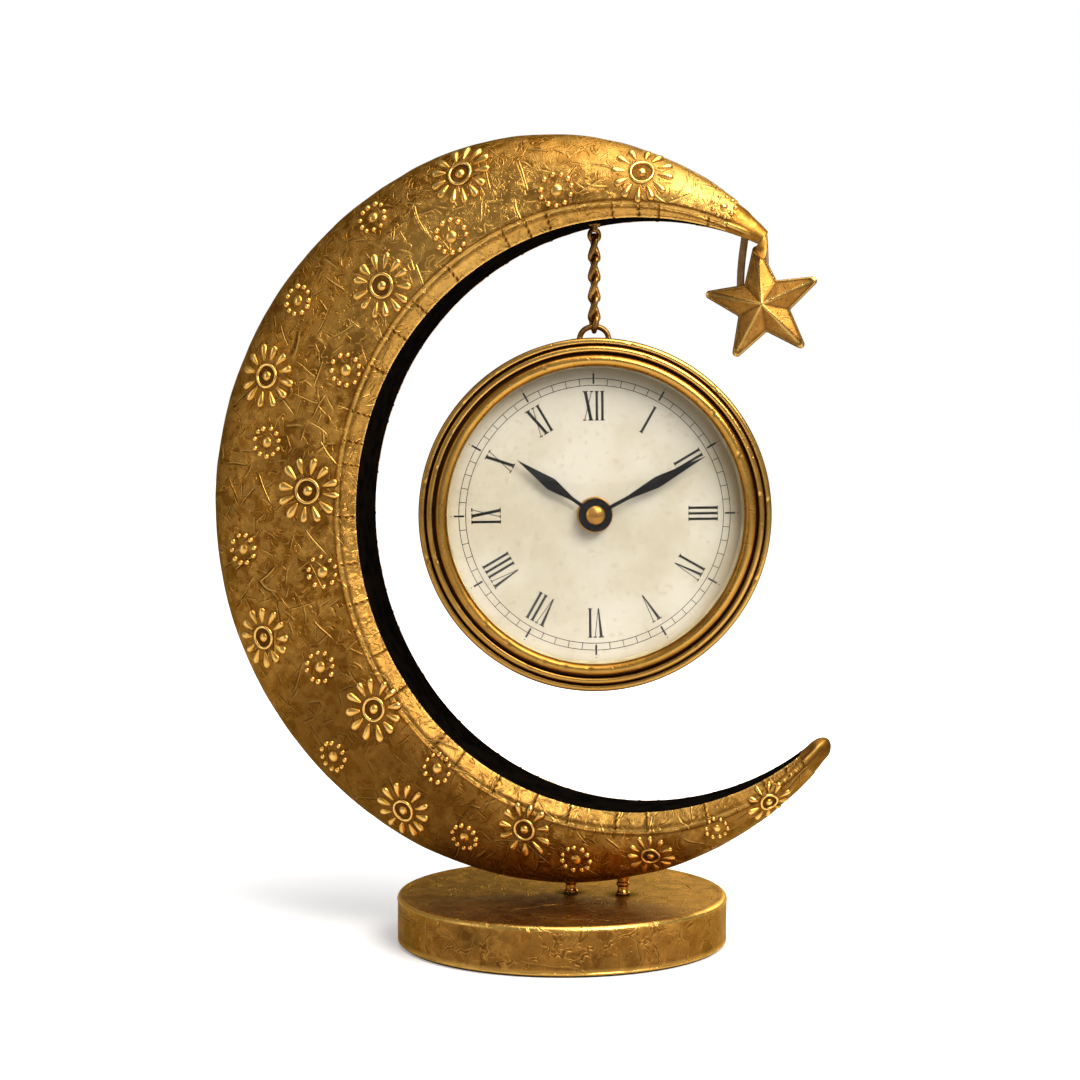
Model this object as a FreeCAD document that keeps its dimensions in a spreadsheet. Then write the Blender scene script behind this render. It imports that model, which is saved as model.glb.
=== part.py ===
import FreeCAD, Part
import os
import Sketcher
from math import asin, atan2, cos, degrees, hypot, pi, radians, sin, sqrt, tan
from types import SimpleNamespace

Vector = FreeCAD.Vector

# Crescent moon desk clock: a hollow brass crescent stands on a weighted disc,
# a round clock hangs in it on a twisted-link chain and a star swings at its tip.
# Millimetres and degrees. X is to the right, Y to the back, Z up, and the
# origin is at the centre of the foot. Angles round the crescent are seen from
# the front, anticlockwise from +X, about its hub.

sizes = {
    # clearances and cutting
    "seat_gap": 0.05,
    "running_gap": 0.08,
    "loose_gap": 0.3,
    "overrun": 6.0,

    # weighted base
    "base_width": 136.0,
    "base_height": 20.0,
    "base_rim": 4.0,
    "base_curl": 0.9,
    "base_wall": 1.2,
    "felt_thick": 2.0,
    "felt_reveal": 0.6,

    # studs between base and crescent
    "stud_width": 4.0,
    "stud_left": 3.8,
    "stud_right": 25.5,
    "stud_grip": 5.0,
    "collar_width": 5.4,
    "foot_width": 8.0,
    "foot_thick": 0.9,
    "nut_width": 7.0,
    "nut_thick": 3.2,
    "nut_room": 10.0,

    # outline of the crescent: a main arc that tightens towards each tip
    "outer_radius": 155.8,
    "outer_x": 7.4,
    "outer_z": 178.0,
    "outer_top_radius": 123.2,
    "outer_top_angle": 117.0,
    "outer_low_radius": 137.4,
    "outer_low_angle": 242.4,
    "inner_radius": 126.8,
    "inner_x": 43.5,
    "inner_z": 176.4,
    "inner_top_radius": 114.4,
    "inner_top_angle": 157.6,
    "inner_low_radius": 109.0,
    "inner_low_angle": 218.0,
    "hub_x": 25.0,
    "hub_z": 177.0,

    # section of the crescent: a boat-like hull, a bevelled band and a straight liner
    "hull_depth": 40.0,
    "tip_depth": 6.4,
    "band_width": 6.6,
    "band_drop": 4.6,
    "band_end_width": 1.6,
    "band_end_drop": 0.8,
    "sheet_wall": 1.0,
    "liner_wall": 1.2,
    "seam_gap": 0.2,
    "liner_gap": 0.15,
    "lip_lean": 3.0,
    "top_taper_angle": 50.0,
    "low_taper_angle": 36.0,
    "lean_taper_angle": 30.0,
    "top_end_angle": 62.5,
    "top_cast_angle": 69.5,
    "low_end_angle": 313.2,
    "low_cast_angle": 307.0,
    "block_from_angle": 257.0,
    "block_to_angle": 275.0,

    # hook that is cast on the upper tip
    "hook_x": 82.2,
    "hook_y": -5.2,
    "hook_z": 279.6,
    "hook_point": 1.3,

    # star and the strap that carries it
    "star_x": 81.8,
    "star_y": 2.0,
    "star_z": 260.9,
    "star_reach": 23.8,
    "star_notch": 13.0,
    "star_depth": 6.5,
    "star_rim": 1.1,
    "star_wall": 0.8,
    "star_tip_flat": 2.0,
    "star_turn_angle": 7.2,
    "strap_width": 2.6,
    "strap_thick": 1.1,
    "strap_x": 77.6,
    "strap_z": 287.6,
    "strap_bend": 3.9,
    "strap_left_foot_x": 72.2,
    "strap_left_foot_z": 261.6,
    "strap_right_foot_x": 82.4,
    "strap_right_foot_z": 267.0,
    "pin_width": 2.2,
    "pin_lean_angle": 40.0,
    "pin_head": 4.4,
    "pin_head_thick": 0.9,
    "pin_root": 3.0,
    "boss_width": 4.6,
    "boss_reach": 6.0,

    # chain and its eye
    "chain_x": 13.2,
    "chain_wire": 1.9,
    "link_pitch": 8.1,
    "link_width": 6.6,
    "link_twist_angle": 45.0,
    "link_gap": 0.3,
    "eye_drop": 1.2,
    "eye_shank_width": 3.0,
    "eye_nut_width": 6.0,
    "eye_nut_thick": 2.4,
    "bail_wire": 1.6,
    "bail_width": 13.0,
    "bail_foot": 3.4,
    "bail_rise": 6.464,

    # clock: depths run back from the dial's face, which hangs before the chain
    "clock_turn_angle": 13.5,
    "hang_depth": 5.7,
    "bezel_lap": 1.5,
    "glass_lap": 1.8,
    "bezel_lip": 2.2,
    "inner_ring_width": 3.9,
    "ring_step": 2.1,
    "ring_groove": 0.8,
    "groove_width": 0.6,
    "bezel_skirt": 12.0,
    "bezel_seat": 7.0,
    "glass_inset": 8.2,
    "glass_thick": 1.5,
    "hand_room": 7.5,
    "reveal_lap": 1.6,
    "dial_thick": 0.8,
    "case_width": 140.0,
    "case_wall": 1.2,
    "case_length": 23.8,
    "ledge_width": 4.6,
    "ledge_thick": 1.2,
    "post_width": 5.0,
    "cover_thick": 1.2,
    "cover_window": 60.0,
    "cover_corner": 6.0,
    "screw_width": 2.4,
    "screw_head": 4.6,
    "screw_head_thick": 1.3,
    "screw_length": 8.0,

    # quartz movement and its cell
    "movement_width": 56.0,
    "movement_thick": 16.0,
    "movement_front_thick": 8.0,
    "movement_wall": 1.4,
    "movement_corner": 4.0,
    "neck_width": 7.8,
    "neck_reach": 2.4,
    "neck_nut_width": 10.0,
    "neck_nut_thick": 1.5,
    "washer_width": 14.7,
    "washer_thick": 0.6,
    "cell_width": 14.5,
    "cell_length": 49.2,
    "cell_cap_width": 5.4,
    "cell_cap_length": 1.3,
    "cell_drop": 18.3,
    "cell_play": 0.2,
    "contact_thick": 0.4,
    "contact_width": 9.0,

    # motion work
    "gear_module": 0.5,
    "wheel_thick": 1.2,
    "wheel_step": 1.7,
    "idler_angle": 60.0,
    "minute_arbor_width": 3.2,
    "tube_wall": 0.85,
    "tube_reach": 3.3,
    "arbor_reach": 5.3,
    "idler_arbor_width": 2.0,
    "knob_width": 11.0,
    "knob_thick": 2.2,

    # hands
    "hand_thick": 0.5,
    "hand_boss_width": 13.5,
    "hour_hand_length": 38.7,
    "hour_hand_width": 5.2,
    "hour_hand_front": 2.7,
    "hour_angle": 305.0,
    "minute_hand_length": 50.6,
    "minute_hand_width": 4.6,
    "minute_hand_front": 3.9,
    "minute_angle": 62.0,
    "hand_stem_width": 1.5,
    "cap_width": 8.1,
    "cap_height": 2.0,
}

cannonTeeth = 10
idlerTeeth = 30
pinionTeeth = 8
hourTeeth = 32
sectionCount = 19
wireSides = 8
linkSteps = 24
eyeSteps = 16
postCount = 4

# a quarter of an ellipse as one cubic curve has its handles at this share of the half axes
quarterShare = 0.5523
# where the inner sides of the bent sheet lie, in sheet thicknesses
sheetBendShare = 0.35
sheetEndShare = 1.6
# half widths of a gear tooth at root, pitch line and tip, and its reach, in modules
toothShares = SimpleNamespace(root=0.92, tip=0.30, above=0.85, below=1.15)
# radius and rise of a rounded bezel ring, in shares of its width
ringRoundShare = 0.6
ringRiseShare = ringRoundShare - sqrt(ringRoundShare * ringRoundShare - 0.25)
# a spade hand, in shares of its length: stem end, widest place
handShares = SimpleNamespace(stem=0.30, belly=0.56)
# how far the inside of a star half shrinks at its outline and at its peak, in sheet thicknesses
starInsideShares = SimpleNamespace(outline=1.6, peak=1.3, rim=0.5)
# upright edge of the cap's dome, in shares of its height
capEdgeShare = 0.3
# how deep a tooth's foot is sunk in its wheel, as a share of the root radius
toothFootShare = 0.9
# places of the sections of the lower tip, between its first and its end
fingertipShares = (0, 0.25, 0.5, 0.72, 0.88, 0.97)
# places of the sections of the hook, past the crescent's end to its point, and the width of its bevel
hookShares = (0.3, 0.65, 1)
hookBandShare = 0.4

doc = FreeCAD.newDocument("moon_clock")
sheet = doc.addObject("Spreadsheet::Sheet", "Sizes")
for row, (name, value) in enumerate(sizes.items(), start=1):
    sheet.set("A%d" % row, name)
    sheet.set("B%d" % row, str(value))
    sheet.setAlias("B%d" % row, name)
doc.recompute()


class Size:
    # a number that remembers the sheet expression it came from
    def __init__(self, value, text):
        self.value = float(value)
        self.text = text

    def __add__(self, other):
        other = asSize(other)
        return Size(self.value + other.value, "(%s + %s)" % (self.text, other.text))

    def __sub__(self, other):
        other = asSize(other)
        return Size(self.value - other.value, "(%s - %s)" % (self.text, other.text))

    def __mul__(self, share):
        share = asSize(share)
        return Size(self.value * share.value, "(%s * %s)" % (self.text, share.text))

    def __truediv__(self, share):
        share = asSize(share)
        return Size(self.value / share.value, "(%s / %s)" % (self.text, share.text))

    def __neg__(self):
        return Size(-self.value, "(0 - %s)" % self.text)

    def __float__(self):
        return self.value


def asSize(amount):
    if isinstance(amount, Size):
        return amount
    return Size(amount, repr(float(amount)))


S = SimpleNamespace(**{name: Size(sheet.get(name), "Sizes." + name) for name in sizes})
zero = asSize(0)


def number(name):
    return float(sheet.get(name))


# Placing and binding

def clockPlacement(thing):
    # the clock's own frame: its Y axis is the hand arbor, its origin is below the chain
    turn = FreeCAD.Rotation(Vector(0, 0, 1), number("clock_turn_angle"))
    thing.Placement = FreeCAD.Placement(Vector(), turn)
    thing.setExpression("Placement.Base.x", S.chain_x.text)
    thing.setExpression("Placement.Base.z", S.clock_z.text)
    thing.setExpression("Placement.Rotation.Angle", S.clock_turn_angle.text)


def newBody(label, onClock=False):
    body = doc.addObject("PartDesign::Body", label)
    body.Label = label
    if onClock:
        clockPlacement(body)
    return body


def newFeature(label, shape, onClock=False):
    feature = doc.addObject("Part::Feature", label)
    feature.Label = label
    feature.Shape = shape
    feature.Placement = FreeCAD.Placement()
    if onClock:
        clockPlacement(feature)
    return feature


def originPlane(body, role):
    for plane in body.Origin.OriginFeatures:
        if plane.Role == role:
            return plane


def newSketch(body, name, role, lift=None, turn=None):
    sketch = body.newObject("Sketcher::SketchObject", body.Label + "_" + name)
    sketch.AttachmentSupport = [(originPlane(body, role), "")]
    sketch.MapMode = "FlatFace"
    if lift is not None:
        sketch.setExpression("AttachmentOffset.Base.z", lift.text)
        sketch.AttachmentOffset = FreeCAD.Placement(Vector(0, 0, lift.value), FreeCAD.Rotation())
    if turn is not None:
        height = lift.value if lift is not None else 0
        spin = FreeCAD.Rotation(Vector(0, 0, 1), turn.value)
        sketch.AttachmentOffset = FreeCAD.Placement(Vector(0, 0, height), spin)
        sketch.setExpression("AttachmentOffset.Rotation.Angle", turn.text)
    return sketch


def pin(sketch, edge, end, x, y):
    # ties one end of an edge to its place from the sheet
    for kind, place in (("DistanceX", x), ("DistanceY", y)):
        index = sketch.addConstraint(Sketcher.Constraint(kind, -1, 1, edge, end, place.value))
        sketch.setExpression("Constraints[%d]" % index, place.text)


def arcBetween(start, end, radius):
    # an arc on the left of its chord for a positive radius, on the right for a negative one
    side = 1 if radius > 0 else -1
    middle = (start + end) * 0.5
    chord = end - start
    rise = sqrt(max(radius * radius - chord.Length * chord.Length / 4, 0))
    across = Vector(chord.y, -chord.x, 0).normalize()
    centre = middle + across * (rise * side)
    first, last = (end, start) if side > 0 else (start, end)
    circle = Part.Circle(centre, Vector(0, 0, 1), abs(radius))
    return Part.ArcOfCircle(circle, circle.parameter(first), circle.parameter(last)), side


def closedProfile(sketch, corners):
    # corners are (x, y), or (x, y, radius) where the edge that leaves the corner is an arc
    points = [Vector(corner[0].value, corner[1].value, 0) for corner in corners]
    ends = []
    for index, corner in enumerate(corners):
        start = points[index]
        end = points[(index + 1) % len(points)]
        if len(corner) == 3:
            arc, side = arcBetween(start, end, corner[2].value)
            edge = sketch.addGeometry(arc, False)
            ends.append((edge, 2, 1) if side > 0 else (edge, 1, 2))
        else:
            edge = sketch.addGeometry(Part.LineSegment(start, end), False)
            ends.append((edge, 1, 2))
    for index, corner in enumerate(corners):
        edge, first, last = ends[index]
        before = ends[index - 1]
        sketch.addConstraint(Sketcher.Constraint("Coincident", before[0], before[2], edge, first))
        pin(sketch, edge, first, corner[0], corner[1])
        if len(corner) == 3:
            radius = corner[2] if corner[2].value > 0 else -corner[2]
            rule = sketch.addConstraint(Sketcher.Constraint("Radius", edge, radius.value))
            sketch.setExpression("Constraints[%d]" % rule, radius.text)


def addCircle(sketch, x, y, radius):
    edge = sketch.addGeometry(Part.Circle(Vector(x.value, y.value, 0), Vector(0, 0, 1), radius.value), False)
    pin(sketch, edge, 3, x, y)
    rule = sketch.addConstraint(Sketcher.Constraint("Radius", edge, radius.value))
    sketch.setExpression("Constraints[%d]" % rule, radius.text)


def addRectangle(sketch, left, bottom, right, top):
    closedProfile(sketch, [(left, bottom), (right, bottom), (right, top), (left, top)])


def addRoundedRectangle(sketch, left, bottom, right, top, corner):
    closedProfile(sketch, [
        (left + corner, bottom), (right - corner, bottom, -corner),
        (right, bottom + corner), (right, top - corner, -corner),
        (right - corner, top), (left + corner, top, -corner),
        (left, top - corner), (left, bottom + corner, -corner)])


def addHexagon(sketch, x, y, flats):
    reach = flats / sqrt(3)
    points = [(cos(radians(60 * turn)), sin(radians(60 * turn))) for turn in range(6)]
    closedProfile(sketch, [(x + reach * across, y + reach * up) for across, up in points])


def revolve(body, sketch):
    turned = body.newObject("PartDesign::Revolution", body.Label + "_turned")
    turned.Profile = sketch
    turned.ReferenceAxis = (sketch, ["V_Axis"])
    turned.Angle = 360
    return turned


def pad(body, sketch, length, name="pad", backwards=False):
    block = body.newObject("PartDesign::Pad", body.Label + "_" + name)
    block.Profile = sketch
    block.Length = length.value
    block.setExpression("Length", length.text)
    block.Reversed = backwards
    return block


def pocket(body, sketch, length=None, name="cut", backwards=False):
    # without a length the cut runs right through, both ways
    cut = body.newObject("PartDesign::Pocket", body.Label + "_" + name)
    cut.Profile = sketch
    if length is None:
        cut.Type = "ThroughAll"
        cut.Midplane = True
    else:
        cut.Length = length.value
        cut.setExpression("Length", length.text)
        cut.Reversed = backwards
    return cut


def repeatRound(body, feature, axisRole, count, name="round"):
    ring = body.newObject("PartDesign::PolarPattern", body.Label + "_" + name)
    ring.Originals = [feature]
    ring.Axis = (originPlane(body, axisRole), [""])
    ring.Angle = 360
    ring.Occurrences = count
    body.Tip = ring
    return ring


def turned(label, corners, onClock=False):
    # a piece turned about the clock's arbor, or about Z when it stands on the base
    body = newBody(label, onClock)
    sketch = newSketch(body, "profile", "XY_Plane" if onClock else "XZ_Plane")
    closedProfile(sketch, corners)
    revolve(body, sketch)
    return body


# Outline of the crescent

def tangentArcs(x, z, radius, topRadius, topAngle, lowRadius, lowAngle):
    # main arc with a tighter arc on each side that touches it where it takes over
    arcs = {"main": (x, z, radius)}
    hub = Vector(number("hub_x"), 0, number("hub_z"))
    joints = {}
    for side, small, angle in (("top", topRadius, topAngle), ("low", lowRadius, lowAngle)):
        across, up = cos(radians(angle)), sin(radians(angle))
        arcs[side] = (x + (radius - small) * across, z + (radius - small) * up, small)
        joint = Vector(x + radius * across, 0, z + radius * up) - hub
        joints[side] = degrees(atan2(joint.z, joint.x)) % 360
    return arcs, joints


outerArcs, outerJoints = tangentArcs(*(number(name) for name in (
    "outer_x", "outer_z", "outer_radius", "outer_top_radius", "outer_top_angle",
    "outer_low_radius", "outer_low_angle")))
innerArcs, innerJoints = tangentArcs(*(number(name) for name in (
    "inner_x", "inner_z", "inner_radius", "inner_top_radius", "inner_top_angle",
    "inner_low_radius", "inner_low_angle")))


def reachAt(arcs, joints, angle):
    # distance from the hub to the outline in one direction
    side = "top" if angle < joints["top"] else "low" if angle > joints["low"] else "main"
    x, z, radius = arcs[side]
    across, up = cos(radians(angle)), sin(radians(angle))
    aside, above = x - number("hub_x"), z - number("hub_z")
    along = aside * across + above * up
    off = aside * up - above * across
    return along + sqrt(radius * radius - off * off)


def fade(distance, length):
    # rises from 0 at a tip to 1 where the full section begins
    return sin(pi / 2 * min(max(distance / length, 0), 1))


def sectionAt(angle):
    # the sizes of the crescent's section in one direction from the hub
    full = fade(angle - number("top_end_angle"), number("top_taper_angle"))
    full = min(full, fade(number("low_end_angle") - angle, number("low_taper_angle")))
    lean = 1 - fade(number("low_end_angle") - angle, number("lean_taper_angle"))
    depth = (number("tip_depth") + (number("hull_depth") - number("tip_depth")) * full) / 2
    band = number("band_end_width") + (number("band_width") - number("band_end_width")) * full
    drop = number("band_end_drop") + (number("band_drop") - number("band_end_drop")) * full
    inner = reachAt(innerArcs, innerJoints, angle)
    outer = reachAt(outerArcs, outerJoints, angle)
    return SimpleNamespace(angle=angle, inner=inner, outer=outer, depth=depth, band=band, lip=depth - drop,
                           lean=number("lip_lean") * lean * full)


def onRay(angle, reach, back):
    return Vector(number("hub_x") + reach * cos(radians(angle)), back,
                  number("hub_z") + reach * sin(radians(angle)))


def curve(angle, places):
    # a cubic curve through the plane of one section; places are (reach, back)
    bend = Part.BezierCurve()
    bend.setPoles([onRay(angle, reach, back) for reach, back in places])
    return bend.toShape()


def line(angle, start, end):
    return Part.makeLine(onRay(angle, *start), onRay(angle, *end))


def quarter(angle, middle, halfWidth, depth, side, start):
    # from the outer edge at the seam to the front or back crest
    handle = start + (depth - start) * quarterShare
    return curve(angle, [(middle + halfWidth, side * start), (middle + halfWidth, side * handle),
                         (middle + halfWidth * quarterShare, side * depth), (middle, side * depth)])


def lipReach(section, side):
    return section.inner + (section.lean if side < 0 else 0)


def shellSection(section, side):
    # bent sheet: hull, crest, bevelled band and the edge that meets the liner
    wall = number("sheet_wall")
    seam = number("seam_gap") / 2
    crest = section.inner + section.band + (section.lean if side < 0 else 0)
    lip = lipReach(section, side)
    bend = crest + wall * sheetBendShare
    outside = quarter(section.angle, crest, section.outer - crest, section.depth, side, seam)
    inside = quarter(section.angle, bend, section.outer - wall - bend, section.depth - wall, side, seam)
    edgeReach = lip + wall * sheetEndShare
    return Part.Wire([
        outside,
        line(section.angle, (crest, side * section.depth), (lip, side * section.lip)),
        line(section.angle, (lip, side * section.lip), (edgeReach, side * section.lip)),
        line(section.angle, (edgeReach, side * section.lip), (bend, side * (section.depth - wall))),
        inside.reversed(),
        line(section.angle, (section.outer - wall, side * seam), (section.outer, side * seam))])


def linerSection(section):
    edge = section.lip - number("liner_gap")
    wall = number("liner_wall")
    front, back = lipReach(section, -1), lipReach(section, 1)
    corners = [(front, -edge), (back, edge), (back + wall, edge), (front + wall, -edge), (front, -edge)]
    return Part.makePolygon([onRay(section.angle, *corner) for corner in corners])


def castOutline(place, front, back, outer, band, depth, lip):
    # closed outline of a solid end; place turns a reach and a depth into a point
    sides = []
    for side, edge in ((-1, front), (1, back)):
        crest = edge + band
        wide = outer - crest
        bend = Part.BezierCurve()
        bend.setPoles([place(outer, 0), place(outer, side * depth * quarterShare),
                       place(crest + wide * quarterShare, side * depth), place(crest, side * depth)])
        sides.append((bend.toShape(), Part.makeLine(place(crest, side * depth), place(edge, side * lip))))
    across = Part.makeLine(place(front, -lip), place(back, lip))
    return Part.Wire([sides[0][0], sides[0][1], across, sides[1][1].reversed(), sides[1][0].reversed()])


def solidSection(section, share=1):
    # the whole outline of the section, shrunk about its middle by the share
    middle = (section.inner + section.outer) / 2
    front = middle + (lipReach(section, -1) - middle) * share
    back = middle + (lipReach(section, 1) - middle) * share
    outer = middle + (section.outer - middle) * share
    return castOutline(lambda reach, depth: onRay(section.angle, reach, depth), front, back, outer,
                       section.band * share, section.depth * share, section.lip * share)


def stations(first, last, count):
    return [sectionAt(first + (last - first) * step / (count - 1)) for step in range(count)]


def loft(wires, ruled=False, closed=False):
    return Part.makeLoft(wires, True, ruled, closed)


# Wires bent from rod

def rodSection(centre, out, across, radius):
    # one many-sided section of a wire, square to its run
    turns = [2 * pi * (step + 0.5) / wireSides for step in range(wireSides)]
    points = [centre + out * (radius * cos(turn)) + across * (radius * sin(turn)) for turn in turns]
    return Part.makePolygon(points + points[:1])


def rodAlong(points, outs, radius, closed):
    # out points away from the inside of the bend at each place
    wires = []
    count = len(points)
    for index, point in enumerate(points):
        before = points[index - 1] if closed or index else point
        after = points[(index + 1) % count] if closed or index < count - 1 else point
        run = (after - before).normalize()
        across = run.cross(outs[index]).normalize()
        wires.append(rodSection(point, across.cross(run).normalize(), across, radius))
    return loft(wires, True, closed)


# Weighted base

def baseShell():
    rim = S.base_width / 2
    wall = S.base_wall
    foot = S.felt_reveal
    body = turned("base_shell", [
        (zero, S.base_height), (zero, S.base_height - wall),
        (rim - S.base_rim, S.base_height - wall, S.base_rim - wall),
        (rim - wall, S.base_height - S.base_rim), (rim - wall, foot),
        (rim - S.base_curl, foot, -S.base_curl), (rim, foot + S.base_curl),
        (rim, S.base_height - S.base_rim, -S.base_rim), (rim - S.base_rim, S.base_height)])
    studHoles(body)
    return body


def studHoles(body):
    sketch = newSketch(body, "holes", "XY_Plane")
    for place in (S.stud_left, S.stud_right):
        addCircle(sketch, place, zero, S.stud_width / 2 + S.running_gap)
    pocket(body, sketch, name="holes")


def baseWeight():
    edge = S.base_width / 2 - S.base_wall - S.loose_gap
    top = S.base_height - S.base_wall - S.seat_gap
    body = turned("base_weight", [
        (zero, S.felt_thick), (edge, S.felt_thick), (edge, top - S.base_rim), (edge - S.base_rim, top),
        (zero, top)])
    room = newSketch(body, "nut_room", "XY_Plane", S.felt_thick)
    for place in (S.stud_left, S.stud_right):
        addCircle(room, place, zero, S.nut_room / 2)
    pocket(body, room, S.nut_thick + S.foot_thick, "nut_room", backwards=True)
    studHoles(body)
    return body


def baseFelt():
    return turned("base_felt", [
        (zero, zero), (S.base_width / 2 - S.base_wall - S.loose_gap * 2, zero),
        (S.base_width / 2 - S.base_wall - S.loose_gap * 2, S.felt_thick - S.seat_gap),
        (zero, S.felt_thick - S.seat_gap)])


# Crescent

def hullBottom(place):
    # height of the crescent's underside over one place of the base
    x, z, radius = outerArcs["low"]
    return z - sqrt(radius * radius - (place - x) ** 2), asin((place - x) / radius)


def hexagon(x, low, reach, tall):
    corners = [Vector(x + reach * cos(radians(60 * turn)), reach * sin(radians(60 * turn)), low)
               for turn in range(7)]
    return Part.Face(Part.makePolygon(corners)).extrude(Vector(0, 0, tall))


def studShapes():
    # threaded studs, their collars under the crescent and the nuts in the weight
    studs, collars, nuts = [], [], []
    low = number("felt_thick") + number("seat_gap")
    top = number("base_height")
    radius = number("stud_width") / 2
    collarRadius = number("collar_width") / 2
    for name in ("stud_left", "stud_right"):
        place = number(name)
        bottom, slope = hullBottom(place)
        high = bottom + number("sheet_wall") + number("stud_grip")
        studs.append(Part.makeCylinder(radius, high - low, Vector(place, 0, low)))
        foot = Part.makeCylinder(number("foot_width") / 2, number("foot_thick"), Vector(place, 0, top))
        post = Part.makeCylinder(collarRadius, bottom + collarRadius - top, Vector(place, 0, top))
        bore = Part.makeCylinder(radius + number("running_gap"), high, Vector(place, 0, 0))
        # the top is cut to the slope of the crescent
        over = number("overrun")
        block = Part.makeBox(over * 2, over * 2, over * 2, Vector(-over, -over, 0))
        block.rotate(Vector(), Vector(0, 1, 0), -degrees(slope))
        block.translate(Vector(place, 0, bottom - number("seat_gap")))
        collars.append(foot.fuse(post).cut(block).cut(bore).removeSplitter())
        nutTop = number("felt_thick") + number("nut_thick") + number("foot_thick")
        flats = number("nut_width") / sqrt(3)
        nut = hexagon(place, nutTop - number("foot_thick") - number("nut_thick"), flats, number("nut_thick"))
        washer = Part.makeCylinder(number("nut_room") / 2 - number("loose_gap"), number("foot_thick"),
                                   Vector(place, 0, nutTop - number("foot_thick")))
        hole = Part.makeCylinder(radius + number("running_gap"), nutTop, Vector(place, 0, 0))
        nuts.append(nut.cut(hole))
        nuts.append(washer.cut(hole))
    return studs, collars, nuts


def anchorBlock():
    # cast block that fills the bottom of the hull and takes the studs
    wall = number("sheet_wall") + number("seat_gap") * 3
    wires = []
    for section in stations(number("block_from_angle"), number("block_to_angle"), 4):
        crest = section.inner + section.band + section.lean / 2 + wall * sheetBendShare
        halves = []
        for side in (-1, 1):
            handle = (section.depth - wall) * quarterShare
            wide = section.outer - wall - crest
            bend = Part.BezierCurve()
            bend.setPoles([onRay(section.angle, crest + wide, 0),
                           onRay(section.angle, crest + wide, side * handle),
                           onRay(section.angle, crest + wide * quarterShare, side * (section.depth - wall)),
                           onRay(section.angle, crest, side * (section.depth - wall))])
            bend.segment(0, 0.5)
            halves.append(bend.toShape())
        lid = Part.makeLine(*[half.valueAt(half.LastParameter) for half in halves])
        wires.append(Part.Wire([halves[0], lid, halves[1].reversed()]))
    return loft(wires)


def studCuts(radius):
    return [Part.makeCylinder(radius, number("outer_z"), Vector(number(name), 0, 0))
            for name in ("stud_left", "stud_right")]


def eyeFrame():
    # where the chain meets the liner: the liner's underside over the chain
    x, z, radius = innerArcs["top"]
    ceiling = z + sqrt(radius * radius - (number("chain_x") - x) ** 2)
    return ceiling


def crescentPieces():
    sections = stations(number("top_cast_angle"), number("low_cast_angle"), sectionCount)
    front = loft([shellSection(section, -1) for section in sections])
    back = loft([shellSection(section, 1) for section in sections])
    liner = loft([linerSection(section) for section in sections])
    block = anchorBlock()
    play = number("stud_width") / 2 + number("running_gap")
    for cutter in studCuts(play):
        front = front.cut(cutter)
        back = back.cut(cutter)
        block = block.cut(cutter)
    hole = Part.makeCylinder(number("eye_shank_width") / 2 + number("running_gap"), number("hull_depth"),
                             Vector(number("chain_x"), 0, eyeFrame() - number("overrun")))
    liner = liner.cut(hole)
    return front, back, liner, block


def hookSection(end, share):
    # the hook leaves along the crescent and bends down and to the front as it thins
    start = onRay(end.angle, (end.inner + end.outer) / 2, 0)
    point = Vector(number("hook_x"), number("hook_y"), number("hook_z"))
    centre = Vector(start.x + (point.x - start.x) * sqrt(share), point.y * share,
                    start.z + (point.z - start.z) * share)
    turn = radians(end.angle) * (1 - share)
    out = Vector(cos(turn), 0, sin(turn))
    tip = number("hook_point") / 2
    half = (end.outer - end.inner) / 2 * (1 - share) + tip * share
    deep = end.depth * (1 - share) + tip * share
    edge = -half
    return castOutline(lambda reach, back: centre + out * reach + Vector(0, back, 0), edge, edge, half,
                       half * hookBandShare, deep, deep / 2)


def upperTip():
    # solid cast end of the crescent with its down-curved hook and the boss for the star
    sections = stations(number("top_cast_angle"), number("top_end_angle"), 4)
    wires = [solidSection(section) for section in sections]
    end = sectionAt(number("top_end_angle"))
    wires += [hookSection(end, share) for share in hookShares]
    boss = Part.makeCylinder(number("boss_width") / 2, number("boss_reach"), pinPlace(0), Vector(0, 1, 0))
    bore = Part.makeCylinder(number("pin_width") / 2 + number("seat_gap"), number("overrun"),
                             pinPlace(number("boss_reach") - number("pin_root")), Vector(0, 1, 0))
    return loft(wires).fuse(boss).cut(bore)


def lowerTip():
    # solid cast end of the crescent, rounded off like a fingertip
    first = number("low_cast_angle")
    last = number("low_end_angle")
    wires = []
    for share in fingertipShares:
        # past the middle the end closes in like a circle
        past = max(share * 2 - 1, 0)
        section = sectionAt(first + (last - first) * share)
        wires.append(solidSection(section, sqrt(1 - past * past)))
    return loft(wires)


# Star

def pinPlace(back):
    # the pin stands inside the bend of the strap, leaning to the side the star's weight is on
    reach = number("strap_bend") - (number("strap_width") + number("pin_width")) / 2 - number("running_gap")
    lean = radians(number("pin_lean_angle"))
    return Vector(number("strap_x") + reach * cos(lean), back, number("strap_z") + reach * sin(lean))


def starCorners(reach, notch, flat):
    # outline seen from the front, with each point cut off square
    corners = []
    for arm in range(5):
        turn = radians(90 + 72 * arm) + radians(number("star_turn_angle"))
        along = Vector(cos(turn), 0, sin(turn))
        aside = Vector(-sin(turn), 0, cos(turn))
        corners.append(along * reach - aside * (flat / 2))
        corners.append(along * reach + aside * (flat / 2))
        between = turn + radians(36)
        corners.append(Vector(cos(between), 0, sin(between)) * notch)
    return corners


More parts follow.
